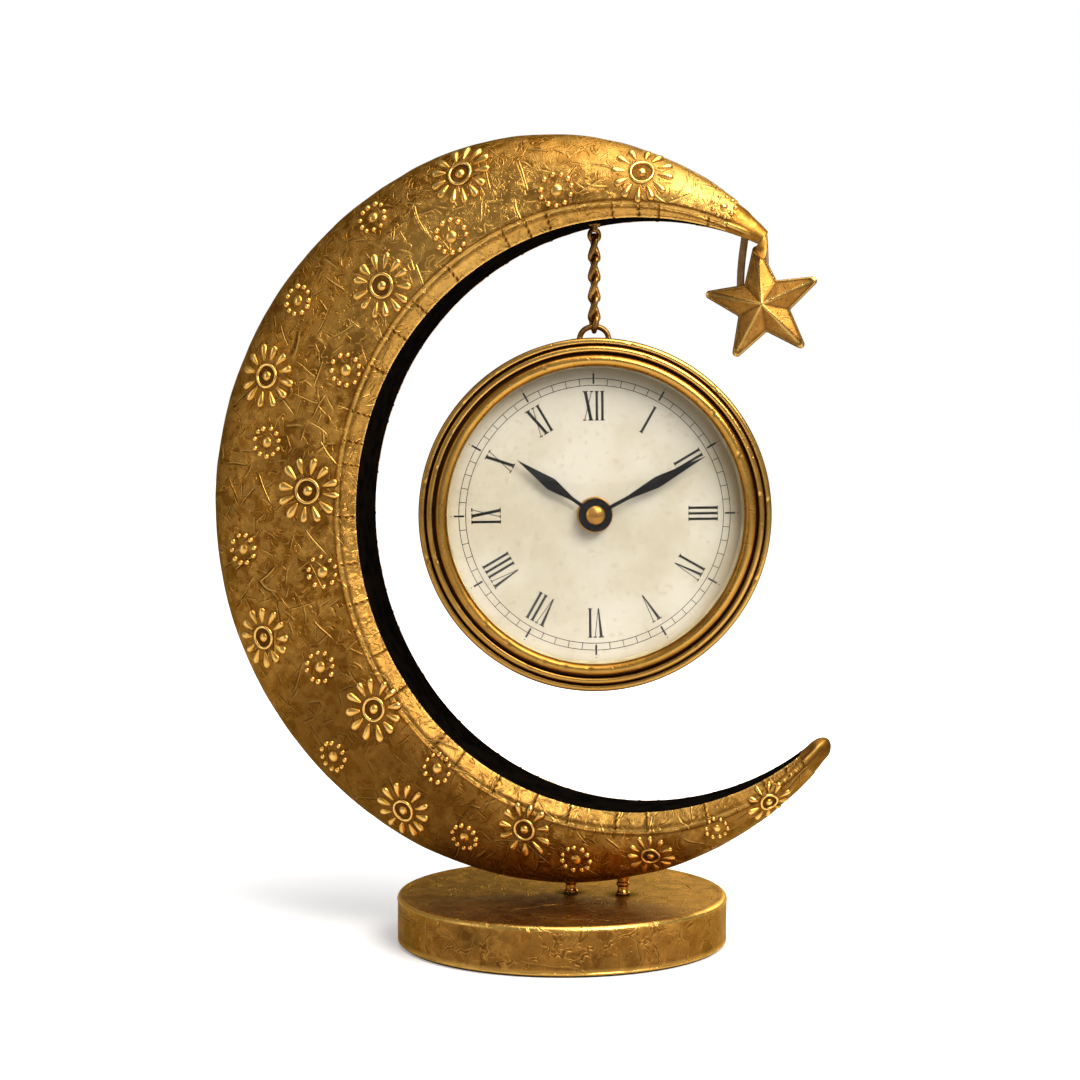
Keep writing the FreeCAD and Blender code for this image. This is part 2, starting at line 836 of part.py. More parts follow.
def starSolid(side, share, base, foot, top):
    # facets that rise from a flat outline to a peak; base is the joint plane, foot where the facets start
    middle = Vector(number("star_x"), number("star_y"), number("star_z"))
    corners = starCorners(number("star_reach") * share, number("star_notch") * share,
                          number("star_tip_flat") * share)
    ring = [middle + corner + Vector(0, side * base, 0) for corner in corners]
    edge = [middle + corner + Vector(0, side * foot, 0) for corner in corners]
    tip = middle + Vector(0, side * top, 0)
    faces = [Part.Face(Part.makePolygon(ring + ring[:1]))]
    for index, corner in enumerate(edge):
        following = (index + 1) % len(edge)
        faces.append(Part.Face(Part.makePolygon(
            [ring[index], ring[following], edge[following], corner, ring[index]])))
        faces.append(Part.Face(Part.makePolygon([corner, edge[following], tip, corner])))
    solid = Part.makeSolid(Part.makeShell(faces))
    if solid.Volume < 0:
        solid.reverse()
    return solid


def starOutside(side):
    return starSolid(side, 1, number("seat_gap") / 2, number("star_rim"), number("star_depth"))


def starHalf(side):
    # one pressed half: a rim and facets that rise to a peak, hollow behind
    wall = number("star_wall")
    thin = 1 - wall * starInsideShares.outline / number("star_notch")
    inside = starSolid(side, thin, 0, number("star_rim") - wall * starInsideShares.rim,
                       number("star_depth") - wall * starInsideShares.peak)
    return starOutside(side).cut(inside)


def starStrap():
    # flat band bent over the pin, its feet on the ridges of the star's back
    half = number("strap_width") / 2
    centre = Vector(number("strap_x"), 0, number("strap_z"))
    left = Vector(number("strap_left_foot_x"), 0, number("strap_left_foot_z"))
    right = Vector(number("strap_right_foot_x"), 0, number("strap_right_foot_z"))
    edges = []
    for reach in (number("strap_bend") + half, number("strap_bend") - half):
        aside, above = Vector(reach, 0, 0), Vector(0, 0, reach)
        edges.append(Part.Arc(centre + aside, centre + above, centre - aside).toShape())
        # outside of each foot for the larger bend, inside for the smaller
        out = Vector(half if reach > number("strap_bend") else -half, 0, 0)
        edges.append(Part.makeLine(centre - aside, left - out))
        edges.append(Part.makeLine(centre + aside, right + out))
    for foot in (left, right):
        edges.append(Part.makeLine(foot - Vector(half, 0, 0), foot + Vector(half, 0, 0)))
    outline = Part.Wire(Part.sortEdges(edges)[0])
    front = number("boss_reach") + number("running_gap")
    band = Part.Face(outline).extrude(Vector(0, number("strap_thick"), 0)).translated(Vector(0, front, 0))
    # what would come out on the far side of a ridge is left off
    return max(band.cut(starOutside(1)).Solids, key=lambda solid: solid.Volume)


def starPin():
    # headed pin in the boss that keeps the strap on
    start = number("boss_reach") - number("pin_root")
    front = number("boss_reach") + number("strap_thick") + number("running_gap") * 2
    back = Vector(0, 1, 0)
    shank = Part.makeCylinder(number("pin_width") / 2, front - start, pinPlace(start), back)
    head = Part.makeCylinder(number("pin_head") / 2, number("pin_head_thick"), pinPlace(front), back)
    return shank.fuse(head).removeSplitter()


# Chain

def linkHeights():
    # height of the lowest wire of the eye and of the top wire of each link
    wire = number("chain_wire")
    eyeLow = eyeFrame() - number("eye_drop") - number("link_width") + wire / 2
    reach = number("link_pitch") + wire + number("link_gap")
    tops = [eyeLow + wire + number("link_gap") - number("link_pitch") * index for index in range(5)]
    return eyeLow, reach, tops


def ovalPlaces(halfWidth, halfHeight, twist, count):
    # points round a stadium that is twisted about its long axis, with the way out of its bend
    straight = halfHeight - halfWidth
    length = 2 * pi * halfWidth + 4 * straight
    points, outs = [], []
    for step in range(count):
        along = length * step / count
        if along < pi * halfWidth:
            turn = along / halfWidth
            across, up = halfWidth * cos(turn), straight + halfWidth * sin(turn)
            out = (cos(turn), sin(turn))
        elif along < pi * halfWidth + 2 * straight:
            across, up = -halfWidth, straight - (along - pi * halfWidth)
            out = (-1, 0)
        elif along < 2 * pi * halfWidth + 2 * straight:
            turn = (along - 2 * straight) / halfWidth
            across, up = halfWidth * cos(turn), -straight + halfWidth * sin(turn)
            out = (cos(turn), sin(turn))
        else:
            across, up = halfWidth, -straight + (along - 2 * pi * halfWidth - 2 * straight)
            out = (1, 0)
        spin = radians(twist) * up / halfHeight
        points.append(Vector(across * cos(spin), across * sin(spin), up))
        outs.append(Vector(out[0] * cos(spin), out[0] * sin(spin), out[1]))
    return points, outs


def placedRing(points, outs, turn, middle):
    # a closed wire turned about the chain and lifted to its height
    place = FreeCAD.Placement(Vector(number("chain_x"), 0, middle), FreeCAD.Rotation(Vector(0, 0, 1), turn))
    return rodAlong([place.multVec(point) for point in points],
                    [place.Rotation.multVec(out) for out in outs],
                    number("chain_wire") / 2, True)


def chainLink(top, reach, twist, turn):
    halfWidth = (number("link_width") - number("chain_wire")) / 2
    points, outs = ovalPlaces(halfWidth, reach / 2, twist, linkSteps)
    return placedRing(points, outs, turn, top - reach / 2)


def chainEye():
    # a ring on a shank, turned so that the first link crosses it squarely
    eyeLow, reach, tops = linkHeights()
    radius = (number("link_width") - number("chain_wire")) / 2
    points, outs = ovalPlaces(radius, radius, 0, eyeSteps)
    ring = placedRing(points, outs, -number("link_twist_angle"), eyeLow + radius)
    low = eyeLow + radius * 2
    high = eyeFrame() + number("liner_wall") + number("eye_nut_thick") + number("seat_gap") * 4
    shank = Part.makeCylinder(number("eye_shank_width") / 2, high - low, Vector(number("chain_x"), 0, low))
    return ring.fuse(shank)


def eyeNut():
    # hexagon nut that rests on the liner inside the crescent
    flats = number("eye_nut_width") / sqrt(3)
    slope = asin((innerArcs["top"][0] - number("chain_x")) / innerArcs["top"][2])
    rise = number("eye_nut_width") / 2 * tan(slope)
    low = eyeFrame() + number("liner_wall") + rise + number("seat_gap")
    nut = hexagon(number("chain_x"), low, flats, number("eye_nut_thick"))
    hole = Part.makeCylinder(number("eye_shank_width") / 2 + number("running_gap"), number("overrun") * 2,
                             Vector(number("chain_x"), 0, low - number("overrun")))
    return nut.cut(hole)


# Clock: depths along the arbor, from the front of the bezel to the back cover

dialFace = -S.hang_depth
glassBack = dialFace - S.hand_room
glassFront = glassBack - S.glass_thick
bezelFront = glassFront - S.bezel_lip
bezelSeat = bezelFront + S.bezel_seat
dialBack = dialFace + S.dial_thick
caseFront = bezelSeat + S.seat_gap
caseBack = caseFront + S.case_length
coverInside = caseBack - S.cover_thick
ledgeFront = dialBack + S.seat_gap
ledgeBack = ledgeFront + S.ledge_thick
movementFront = dialBack + S.seat_gap
movementJoint = movementFront + S.movement_front_thick
movementBack = movementFront + S.movement_thick
roomFront = movementFront + S.movement_wall
hourWheelFront = roomFront + S.running_gap * 2
idlerWheelFront = hourWheelFront + S.wheel_step

caseOutside = S.case_width / 2
caseInside = caseOutside - S.case_wall
glassEdge = caseOutside - S.glass_inset
bezelOpening = glassEdge - S.glass_lap
minuteArbor = S.minute_arbor_width / 2
tubeInside = minuteArbor + S.running_gap
tubeOutside = tubeInside + S.tube_wall
gearDistance = S.gear_module * ((cannonTeeth + idlerTeeth) / 2)
cellMiddle = roomFront + S.cell_play + S.cell_width / 2


def plate(body, name, start, thick, draw):
    # material from one depth backwards
    sketch = newSketch(body, name, "XZ_Plane", -start)
    draw(sketch)
    return pad(body, sketch, thick, name + "_pad", backwards=True)


def recess(body, name, start, depth, draw):
    # a cut from one depth backwards, or right through
    sketch = newSketch(body, name, "XZ_Plane", -start)
    draw(sketch)
    return pocket(body, sketch, depth, name + "_cut")


def disc(radius, x=zero, y=zero):
    return lambda sketch: addCircle(sketch, x, y, radius)


def bezel():
    # three rounded rings that step back from the glass to the case
    opening = bezelOpening
    ring = (caseOutside + S.bezel_lap - opening - S.inner_ring_width - S.groove_width * 2) / 2
    corners = []
    reach = opening
    for step, width in enumerate((S.inner_ring_width, ring, ring)):
        crest = bezelFront + S.ring_step * step
        foot = crest + width * ringRiseShare
        if step:
            floor = foot + S.ring_groove
            corners += [(reach, floor), (reach + S.groove_width, floor)]
            reach = reach + S.groove_width
        corners += [(reach, foot, -(width * ringRoundShare)), (reach + width, foot)]
        reach = reach + width
    case = caseOutside + S.seat_gap
    glass = glassEdge + S.seat_gap
    corners += [(reach, bezelFront + S.bezel_skirt), (case, bezelFront + S.bezel_skirt), (case, bezelSeat),
                (glass, bezelSeat), (glass, glassFront - S.seat_gap), (opening, glassFront - S.seat_gap)]
    return turned("bezel", corners, True)


def glass():
    return turned("glass", [
        (zero, glassFront), (glassEdge, glassFront), (glassEdge, glassBack), (zero, glassBack)], True)


def dialRing():
    front = glassBack + S.seat_gap
    back = dialFace - S.seat_gap
    return turned("dial_ring", [
        (bezelOpening, front), (glassEdge, front), (glassEdge, back), (bezelOpening - S.reveal_lap, back)],
        True)


def dial():
    hole = S.neck_width / 2 + S.seat_gap
    edge = caseInside - S.seat_gap
    return turned("dial", [(hole, dialFace), (edge, dialFace), (edge, dialBack), (hole, dialBack)], True)


def clockCase():
    ledge = caseInside - S.ledge_width
    body = turned("clock_case", [
        (caseOutside, caseFront), (caseOutside, caseBack), (caseInside, caseBack), (caseInside, ledgeBack),
        (ledge, ledgeBack), (ledge, ledgeFront), (caseInside, ledgeFront), (caseInside, caseFront)], True)
    post = plate(body, "post", ledgeBack, coverInside - ledgeBack - S.seat_gap,
                 disc(S.post_width / 2, *postPlace()))
    repeatRound(body, post, "Y_Axis", postCount)
    hole = newSketch(body, "screw", "XZ_Plane", -(coverInside - S.screw_length))
    addCircle(hole, *postPlace(), S.screw_width / 2 + S.seat_gap)
    drilled = pocket(body, hole, S.screw_length, "screw_cut")
    repeatRound(body, drilled, "Y_Axis", postCount, "screws")
    return body


def postPlace():
    reach = (caseInside - S.post_width / 2 + S.loose_gap) * sin(radians(45))
    return reach, reach


def backCover():
    body = newBody("back_cover", True)
    plate(body, "disc", coverInside, S.cover_thick, disc(caseInside - S.seat_gap))
    half = S.cover_window / 2
    recess(body, "window", coverInside, None,
           lambda sketch: addRoundedRectangle(sketch, -half, -half, half, half, S.cover_corner))
    hole = recess(body, "screw", coverInside, None, disc(S.screw_width / 2 + S.running_gap, *postPlace()))
    repeatRound(body, hole, "Y_Axis", postCount)
    return body


def coverScrews():
    # one screw through the cover into each post, with a domed head
    radius = number("screw_width") / 2
    reach = hypot(*(place.value for place in postPlace()))
    start = coverInside.value - number("screw_length") + number("seat_gap") * 4
    face = caseBack.value + number("seat_gap")
    screws = []
    for index in range(postCount):
        turn = radians(45) + 2 * pi * index / postCount
        place = Vector(reach * cos(turn), 0, reach * sin(turn))
        shank = Part.makeCylinder(radius, face - start, place + Vector(0, start, 0), Vector(0, 1, 0))
        head = Part.makeCone(number("screw_head") / 2, number("screw_head") / 3, number("screw_head_thick"),
                             place + Vector(0, face, 0), Vector(0, 1, 0))
        slot = Part.makeBox(number("screw_head"), number("screw_head_thick"), number("groove_width"),
                            place + Vector(-number("screw_head") / 2, face + number("screw_head_thick") / 2,
                                           -number("groove_width") / 2))
        screws.append(shank.fuse(head).cut(slot).removeSplitter())
    return Part.makeCompound(screws)


def bailTop():
    # the wire's centre at the top of the bail, under the lowest link
    eyeLow, reach, tops = linkHeights()
    lowest = tops[3] - reach
    return lowest - (number("chain_wire") + number("bail_wire")) / 2 - number("link_gap")


def hangClock():
    # the clock's centre lies under its bail, so a wider case hangs lower
    row = len(sizes) + 1
    sheet.set("A%d" % row, "clock_z")
    sheet.set("B%d" % row, "=%r - bail_rise - case_width / 2" % bailTop())
    sheet.setAlias("B%d" % row, "clock_z")
    doc.recompute()
    return Size(sheet.get("clock_z"), "Sizes.clock_z")


S.clock_z = hangClock()


def clockBail():
    # an arch of wire whose two feet lie along the top of the case
    radius = number("bail_wire") / 2
    half = number("bail_width") / 2 - radius
    top = bailTop() - number("clock_z")
    seat = caseOutside.value + radius + number("seat_gap")
    centre = top - half
    points, outs = [], []
    for reach in (half + number("bail_foot"), half + number("bail_foot") / 2):
        points.append(Vector(-reach, 0, sqrt(seat * seat - reach * reach)))
        outs.append(Vector(0, 0, 1))
    for turn in (160, 137, 113, 90):
        out = Vector(cos(radians(turn)), 0, sin(radians(turn)))
        points.append(Vector(0, 0, centre) + out * half)
        outs.append(out)
    points += [Vector(-point.x, 0, point.z) for point in points[-2::-1]]
    outs += [Vector(-out.x, 0, out.z) for out in outs[-2::-1]]
    return rodAlong(points, outs, radius, False)


# Quartz movement

def movementOutline(sketch):
    half = S.movement_width / 2
    low = -(S.cell_drop + S.cell_width / 2 + S.cell_play + S.movement_wall)
    addRoundedRectangle(sketch, -half, low, half, low + S.movement_width, S.movement_corner)


def cellBay(sketch):
    half = (S.cell_length + S.cell_cap_length) / 2 + S.movement_wall
    tall = S.cell_width / 2 + S.cell_play
    addRectangle(sketch, -half, -(S.cell_drop + tall), half, tall - S.cell_drop)


def movementFrontHalf():
    body = newBody("movement_front", True)
    plate(body, "housing", movementFront, S.movement_front_thick - S.seat_gap, movementOutline)
    neckFront = dialFace - S.neck_reach
    plate(body, "neck", neckFront, movementFront + S.movement_wall / 2 - neckFront, disc(S.neck_width / 2))
    room = gearReach(hourTeeth) + S.loose_gap * 2
    recess(body, "hour_room", roomFront, S.movement_thick, disc(room))
    recess(body, "idler_room", roomFront, S.movement_thick,
           disc(gearReach(idlerTeeth) + S.loose_gap * 2, *idlerPlace()))
    recess(body, "bay", roomFront, S.movement_thick, cellBay)
    recess(body, "bore", roomFront, None, disc(tubeOutside + S.running_gap))
    return body


def movementBackHalf():
    body = newBody("movement_back", True)
    plate(body, "housing", movementJoint, S.movement_thick - S.movement_front_thick, movementOutline)
    recess(body, "bay", movementJoint, None, cellBay)
    recess(body, "idler_bore", movementJoint, None,
           disc(S.idler_arbor_width / 2 + S.running_gap, *idlerPlace()))
    recess(body, "pivot", movementJoint, S.movement_wall + S.seat_gap, disc(minuteArbor + S.running_gap))
    return body


def dryCell():
    body = newBody("dry_cell", True)
    half = (S.cell_length + S.cell_cap_length) / 2
    can = ("can", -half, S.cell_length, S.cell_width / 2)
    cap = ("cap", S.cell_length - half, S.cell_cap_length, S.cell_cap_width / 2)
    for name, start, length, radius in (can, cap):
        sketch = newSketch(body, name, "YZ_Plane", start)
        addCircle(sketch, cellMiddle, -S.cell_drop, radius)
        pad(body, sketch, length, name + "_pad")
    return body


def cellContacts():
    # a folded spring strip at each end of the cell
    half = (number("cell_length") + number("cell_cap_length")) / 2
    fold = number("movement_wall") - number("seat_gap")
    thick = number("contact_thick")
    wide = number("contact_width")
    strips = []
    for side in (-1, 1):
        near = side * half
        far = side * (half + fold)
        front = cellMiddle.value - wide / 2
        back = cellMiddle.value + wide / 2
        corners = [(near, back), (near, front), (far, front), (far, back), (far - side * thick, back),
                   (far - side * thick, front + thick), (near + side * thick, front + thick),
                   (near + side * thick, back), (near, back)]
        low = -number("cell_drop") - wide / 2
        face = Part.Face(Part.makePolygon([Vector(x, y, low) for x, y in corners]))
        strips.append(face.extrude(Vector(0, 0, wide)))
    return Part.makeCompound(strips)


def dialWasher():
    hole = S.neck_width / 2 + S.running_gap
    front = dialFace - S.washer_thick
    edge = S.washer_width / 2
    return turned("dial_washer", [(hole, front), (edge, front), (edge, dialFace), (hole, dialFace)], True)


def neckNut():
    body = newBody("neck_nut", True)
    start = dialFace - S.washer_thick - S.neck_nut_thick
    plate(body, "hexagon", start, S.neck_nut_thick,
          lambda sketch: addHexagon(sketch, zero, zero, S.neck_nut_width))
    recess(body, "bore", start, None, disc(S.neck_width / 2 + S.running_gap))
    return body


# Motion work

def gearReach(teeth):
    return S.gear_module * (teeth / 2 + toothShares.above)


def idlerPlace():
    angle = S.idler_angle
    across = Size(cos(radians(angle.value)), "cos(%s)" % angle.text)
    up = Size(sin(radians(angle.value)), "sin(%s)" % angle.text)
    return gearDistance * across, gearDistance * up


def gear(body, name, teeth, start, thick, turn):
    # a disc at root depth with one tooth that is repeated round it
    rootReach = S.gear_module * (teeth / 2 - toothShares.below)
    plate(body, name, start, thick, disc(rootReach))
    doc.recompute()
    sketch = newSketch(body, name + "_tooth", "XZ_Plane", -start, turn)
    root = S.gear_module * toothShares.root
    tip = S.gear_module * toothShares.tip
    foot = rootReach * toothFootShare
    closedProfile(sketch, [(foot, -root), (rootReach, -root), (gearReach(teeth), -tip),
                           (gearReach(teeth), tip), (rootReach, root), (foot, root)])
    tooth = pad(body, sketch, thick, name + "_tooth_pad", backwards=True)
    return repeatRound(body, tooth, "Y_Axis", teeth, name + "_teeth")


def onIdler(body):
    # moves a body of the clock onto the idler's axis
    across, up = idlerPlace()
    turn = S.clock_turn_angle.text
    body.setExpression("Placement.Base.x", "%s + %s * cos(%s)" % (S.chain_x.text, across.text, turn))
    body.setExpression("Placement.Base.y", "%s * sin(%s)" % (across.text, turn))
    body.setExpression("Placement.Base.z", "%s + %s" % (S.clock_z.text, up.text))


def minuteArborPiece():
    body = newBody("minute_arbor", True)
    front = dialFace - S.arbor_reach
    back = movementJoint + S.movement_wall
    plate(body, "arbor", front, back - front, disc(minuteArbor))
    gear(body, "cannon", cannonTeeth, idlerWheelFront, S.wheel_thick, S.idler_angle)
    return body


def hourWheel():
    body = newBody("hour_wheel", True)
    front = dialFace - S.tube_reach
    plate(body, "tube", front, hourWheelFront + S.wheel_thick - front, disc(tubeOutside))
    gear(body, "wheel", hourTeeth, hourWheelFront, S.wheel_thick, S.idler_angle)
    recess(body, "bore", hourWheelFront, None, disc(tubeInside))
    return body


def idlerWheel():
    body = newBody("idler_wheel", True)
    back = movementBack + S.loose_gap + S.knob_thick
    plate(body, "arbor", hourWheelFront, back - hourWheelFront, disc(S.idler_arbor_width / 2))
    gear(body, "pinion", pinionTeeth, hourWheelFront, S.wheel_step, S.idler_angle + 180 / pinionTeeth)
    gear(body, "wheel", idlerTeeth, idlerWheelFront, S.wheel_thick, S.idler_angle + 180 + 180 / idlerTeeth)
    onIdler(body)
    return body


def settingKnob():
    body = newBody("setting_knob", True)
    start = movementBack + S.loose_gap
    plate(body, "disc", start, S.knob_thick, disc(S.knob_width / 2))
    notch = recess(body, "notch", start, None, disc(S.groove_width, S.knob_width / 2))
    repeatRound(body, notch, "Y_Axis", postCount * 4)
    recess(body, "bore", start, None, disc(S.idler_arbor_width / 2 + S.seat_gap / 2))
    onIdler(body)
    return body


# Hands

def hand(label, front, length, width, angle, bore):
    # spade hand with a round boss, turned clockwise from twelve
    body = newBody(label, True)
    stem = S.hand_stem_width / 2
    start = dialFace - front - S.hand_thick
    blade = newSketch(body, "blade", "XZ_Plane", -start, -angle)
    belly = length * handShares.belly
    closedProfile(blade, [
        (stem, zero), (stem, length * handShares.stem), (width / 2, belly), (zero, length),
        (-(width / 2), belly), (-stem, length * handShares.stem), (-stem, zero)])
    pad(body, blade, S.hand_thick, "blade_pad", backwards=True)
    plate(body, "boss", start, S.hand_thick, disc(S.hand_boss_width / 2))
    recess(body, "bore", start, None, disc(bore))
    return body


def handCap():
    # a dome with a short upright edge
    back = dialFace - S.minute_hand_front - S.hand_thick - S.seat_gap
    edge = S.cap_width / 2
    upright = S.cap_height * capEdgeShare
    rise = S.cap_height - upright
    foot = back - upright
    bore = minuteArbor + S.seat_gap / 2
    tip = dialFace - S.arbor_reach - S.seat_gap
    dome = edge * edge / (rise * 2) + rise / 2
    return turned("hand_cap", [(zero, foot - rise, -dome), (edge, foot), (edge, back), (bore, back),
                               (bore, tip), (zero, tip)], True)


# All pieces

def buildAll():
    baseShell()
    baseWeight()
    baseFelt()
    studs, collars, nuts = studShapes()
    newFeature("stand_studs", Part.makeCompound(studs))
    newFeature("stud_collars", Part.makeCompound(collars))
    newFeature("stud_nuts", Part.makeCompound(nuts))
    front, back, liner, block = crescentPieces()
    newFeature("crescent_front_shell", front)
    newFeature("crescent_back_shell", back)
    newFeature("crescent_liner", liner)
    newFeature("anchor_block", block)
    newFeature("upper_tip", upperTip())
    newFeature("lower_tip", lowerTip())
    newFeature("star_front", starHalf(-1))
    newFeature("star_back", starHalf(1))
    newFeature("star_strap", starStrap())
    newFeature("star_pin", starPin())
    newFeature("chain_eye", chainEye())
    newFeature("eye_nut", eyeNut())
    eyeLow, reach, tops = linkHeights()
    for index in range(4):
        link = chainLink(tops[index], reach, number("link_twist_angle"), 0)
        newFeature("chain_link_%d" % (index + 1), link)
    endLow = bailTop() - (number("chain_wire") + number("bail_wire")) / 2 - number("link_gap")
    first = number("link_twist_angle")
    last = 90 + number("clock_turn_angle")
    newFeature("end_link", chainLink(tops[4], tops[4] - endLow, (first - last) / 2, (first + last) / 2))
    newFeature("clock_bail", clockBail(), True)
    clockCase()
    bezel()
    glass()
    dialRing()
    dial()
    backCover()
    newFeature("cover_screws", coverScrews(), True)
    movementFrontHalf()
    movementBackHalf()
    dryCell()
    newFeature("cell_contacts", cellContacts(), True)
    dialWasher()
    neckNut()
    minuteArborPiece()
    hourWheel()
    idlerWheel()
    settingKnob()
    hand("hour_hand", S.hour_hand_front, S.hour_hand_length, S.hour_hand_width, S.hour_angle,
         tubeOutside + S.seat_gap / 2)
    hand("minute_hand", S.minute_hand_front, S.minute_hand_length, S.minute_hand_width, S.minute_angle,
         minuteArbor + S.seat_gap / 2)
    handCap()
    doc.recompute()


def exportAll():
    for thing in doc.Objects:
        if "Invalid" in thing.State or "Error" in thing.State:
            raise RuntimeError("%s did not build: %s" % (thing.Label, thing.State))
    pieces = [thing for thing in doc.Objects if thing.TypeId in ("PartDesign::Body", "Part::Feature")]
    for piece in pieces:
        if piece.Shape.isNull() or not piece.Shape.isValid() or not piece.Shape.Solids:
            raise RuntimeError("%s has no sound solid" % piece.Label)
    os.makedirs("parts", exist_ok=True)
    for piece in pieces:
        piece.Shape.exportStep("parts/%s.step" % piece.Label)
        print("%-22s %2d solids  %9.1f mm3" % (piece.Label, len(piece.Shape.Solids), piece.Shape.Volume))
    print(len(pieces), "pieces")


buildAll()
exportAll()
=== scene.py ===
import functools
import math

import bpy
import numpy as np
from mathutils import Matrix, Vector

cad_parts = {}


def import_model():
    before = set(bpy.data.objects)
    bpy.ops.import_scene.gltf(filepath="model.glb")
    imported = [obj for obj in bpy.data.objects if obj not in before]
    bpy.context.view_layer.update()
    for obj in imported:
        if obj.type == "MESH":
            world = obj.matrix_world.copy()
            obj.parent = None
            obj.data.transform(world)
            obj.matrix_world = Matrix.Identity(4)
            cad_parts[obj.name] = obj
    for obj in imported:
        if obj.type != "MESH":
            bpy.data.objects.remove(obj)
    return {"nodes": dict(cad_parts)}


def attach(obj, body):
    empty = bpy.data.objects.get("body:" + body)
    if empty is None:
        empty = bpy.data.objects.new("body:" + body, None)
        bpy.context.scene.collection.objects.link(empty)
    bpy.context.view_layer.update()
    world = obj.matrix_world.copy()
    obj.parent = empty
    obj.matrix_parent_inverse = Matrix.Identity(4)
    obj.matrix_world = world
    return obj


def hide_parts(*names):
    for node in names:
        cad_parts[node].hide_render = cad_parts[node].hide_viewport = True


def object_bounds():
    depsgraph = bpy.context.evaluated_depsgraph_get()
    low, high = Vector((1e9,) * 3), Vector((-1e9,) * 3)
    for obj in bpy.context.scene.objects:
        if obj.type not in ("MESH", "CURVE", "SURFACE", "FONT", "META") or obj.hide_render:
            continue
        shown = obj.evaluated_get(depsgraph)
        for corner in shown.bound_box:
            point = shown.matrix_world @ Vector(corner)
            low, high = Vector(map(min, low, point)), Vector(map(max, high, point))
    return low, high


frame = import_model()
cadLow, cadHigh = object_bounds()
nodes = frame["nodes"]
print("frame loaded")

# Lengths below are in millimetres and angles in degrees. buildMesh turns them into metres.


# Mesh helpers

def gridPart(points, closedRows=False, closedColumns=False, start=None, end=None):
    # A grid of points joined by quads. start and end close the first and last row:
    # with "face" by one polygon, with a point by a fan round it.
    rows, columns = points.shape[:2]
    index = np.arange(rows * columns).reshape(rows, columns)
    flat = points.reshape(-1, 3)
    if closedRows:
        index = np.vstack([index, index[:1]])
    if closedColumns:
        index = np.hstack([index, index[:, :1]])
    quads = packed(index[:-1, :-1], index[1:, :-1], index[1:, 1:], index[:-1, 1:])
    faces = [quads.reshape(-1, 4)]
    for ring, close in ((index[0], start), (index[-1][::-1], end)):
        if close is None:
            continue
        if isinstance(close, str):
            faces.append(ring[None, :-1])
            continue
        flat = np.vstack([flat, np.asarray(close, float)[None]])
        hub = np.full(len(ring) - 1, len(flat) - 1)
        faces.append(packed(ring[:-1], ring[1:], hub))
    return flat, faces


def outward(part):
    # turns the faces round where they look inwards
    points, faces = part
    around = points - points.mean(0)
    volume = 0.0
    for group in faces:
        first = around[group[:, 0]]
        for k in range(1, group.shape[1] - 1):
            volume += np.einsum("ij,ij->", first, np.cross(around[group[:, k]], around[group[:, k + 1]]))
    return points, [group[:, ::-1] for group in faces] if volume < 0 else faces


def buildMesh(name, parts, material, body, attributes=None, smooth=True, crease=40, swap=None):
    # Parts are (points, faces), or with a shade and a shine for each point as well. swap is the CAD node
    # whose place the piece takes.
    allPoints, sizes, loops, base = [], [], [], 0
    if len(parts[0]) == 4:
        attributes = {key: np.concatenate([p[k] for p in parts]) for key, k in (("shade", 2), ("shine", 3))}
    for points, faces in (p[:2] for p in parts):
        for group in faces:
            sizes.append(np.full(len(group), group.shape[1]))
            loops.append((group + base).ravel())
        allPoints.append(points)
        base += len(points)
    # nothing reaches out of the CAD box
    allPoints = np.clip(np.concatenate(allPoints), np.array(cadLow) * 1000, np.array(cadHigh) * 1000)
    sizes = np.concatenate(sizes)
    loops = np.concatenate(loops)
    mesh = bpy.data.meshes.new(name)
    mesh.vertices.add(len(allPoints))
    mesh.vertices.foreach_set("co", (allPoints * 0.001).astype(np.float32).ravel())
    mesh.loops.add(len(loops))
    mesh.loops.foreach_set("vertex_index", loops.astype(np.int32))
    mesh.polygons.add(len(sizes))
    starts = np.concatenate([[0], np.cumsum(sizes)[:-1]])
    mesh.polygons.foreach_set("loop_start", starts.astype(np.int32))
    mesh.update(calc_edges=True)
    mesh.polygons.foreach_set("use_smooth", np.full(len(sizes), smooth))
    if smooth:
        mesh.set_sharp_from_angle(angle=math.radians(crease))
    for key, values in (attributes or {}).items():
        layer = mesh.attributes.new(key, "FLOAT", "POINT")
        layer.data.foreach_set("value", np.asarray(values, np.float32).ravel())
    mesh.materials.append(material)
    piece = bpy.data.objects.new(name, mesh)
    bpy.context.scene.collection.objects.link(piece)
    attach(piece, body)
    if swap:
        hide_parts(swap)


def filleted(corners, steps=6, closed=False):
    # Corners are (across, up, fillet). Each fillet is an arc that touches both of its edges.
    spots = np.array([c[:2] for c in corners], float)
    out = []
    last = len(spots) - 1
    for k, (_, _, radius) in enumerate(corners):
        if radius == 0 or (not closed and k in (0, last)):
            out.append(spots[k][None])
            continue
        before = spots[k - 1] - spots[k]
        after = spots[(k + 1) % len(spots)] - spots[k]
        before /= np.linalg.norm(before)
        after /= np.linalg.norm(after)
        half = math.acos(np.clip(before @ after, -1, 1)) / 2
        middle = before + after
        centre = spots[k] + middle / np.linalg.norm(middle) * radius / math.sin(half)
        first = spots[k] + before * radius / math.tan(half) - centre
        second = spots[k] + after * radius / math.tan(half) - centre
        sweep = math.atan2(first[0] * second[1] - first[1] * second[0], first @ second)
        turn = np.linspace(0, sweep, steps + 1)[:, None]
        across = np.array([-first[1], first[0]])
        out.append(centre + first * np.cos(turn) + across * np.sin(turn))
    return np.concatenate(out)


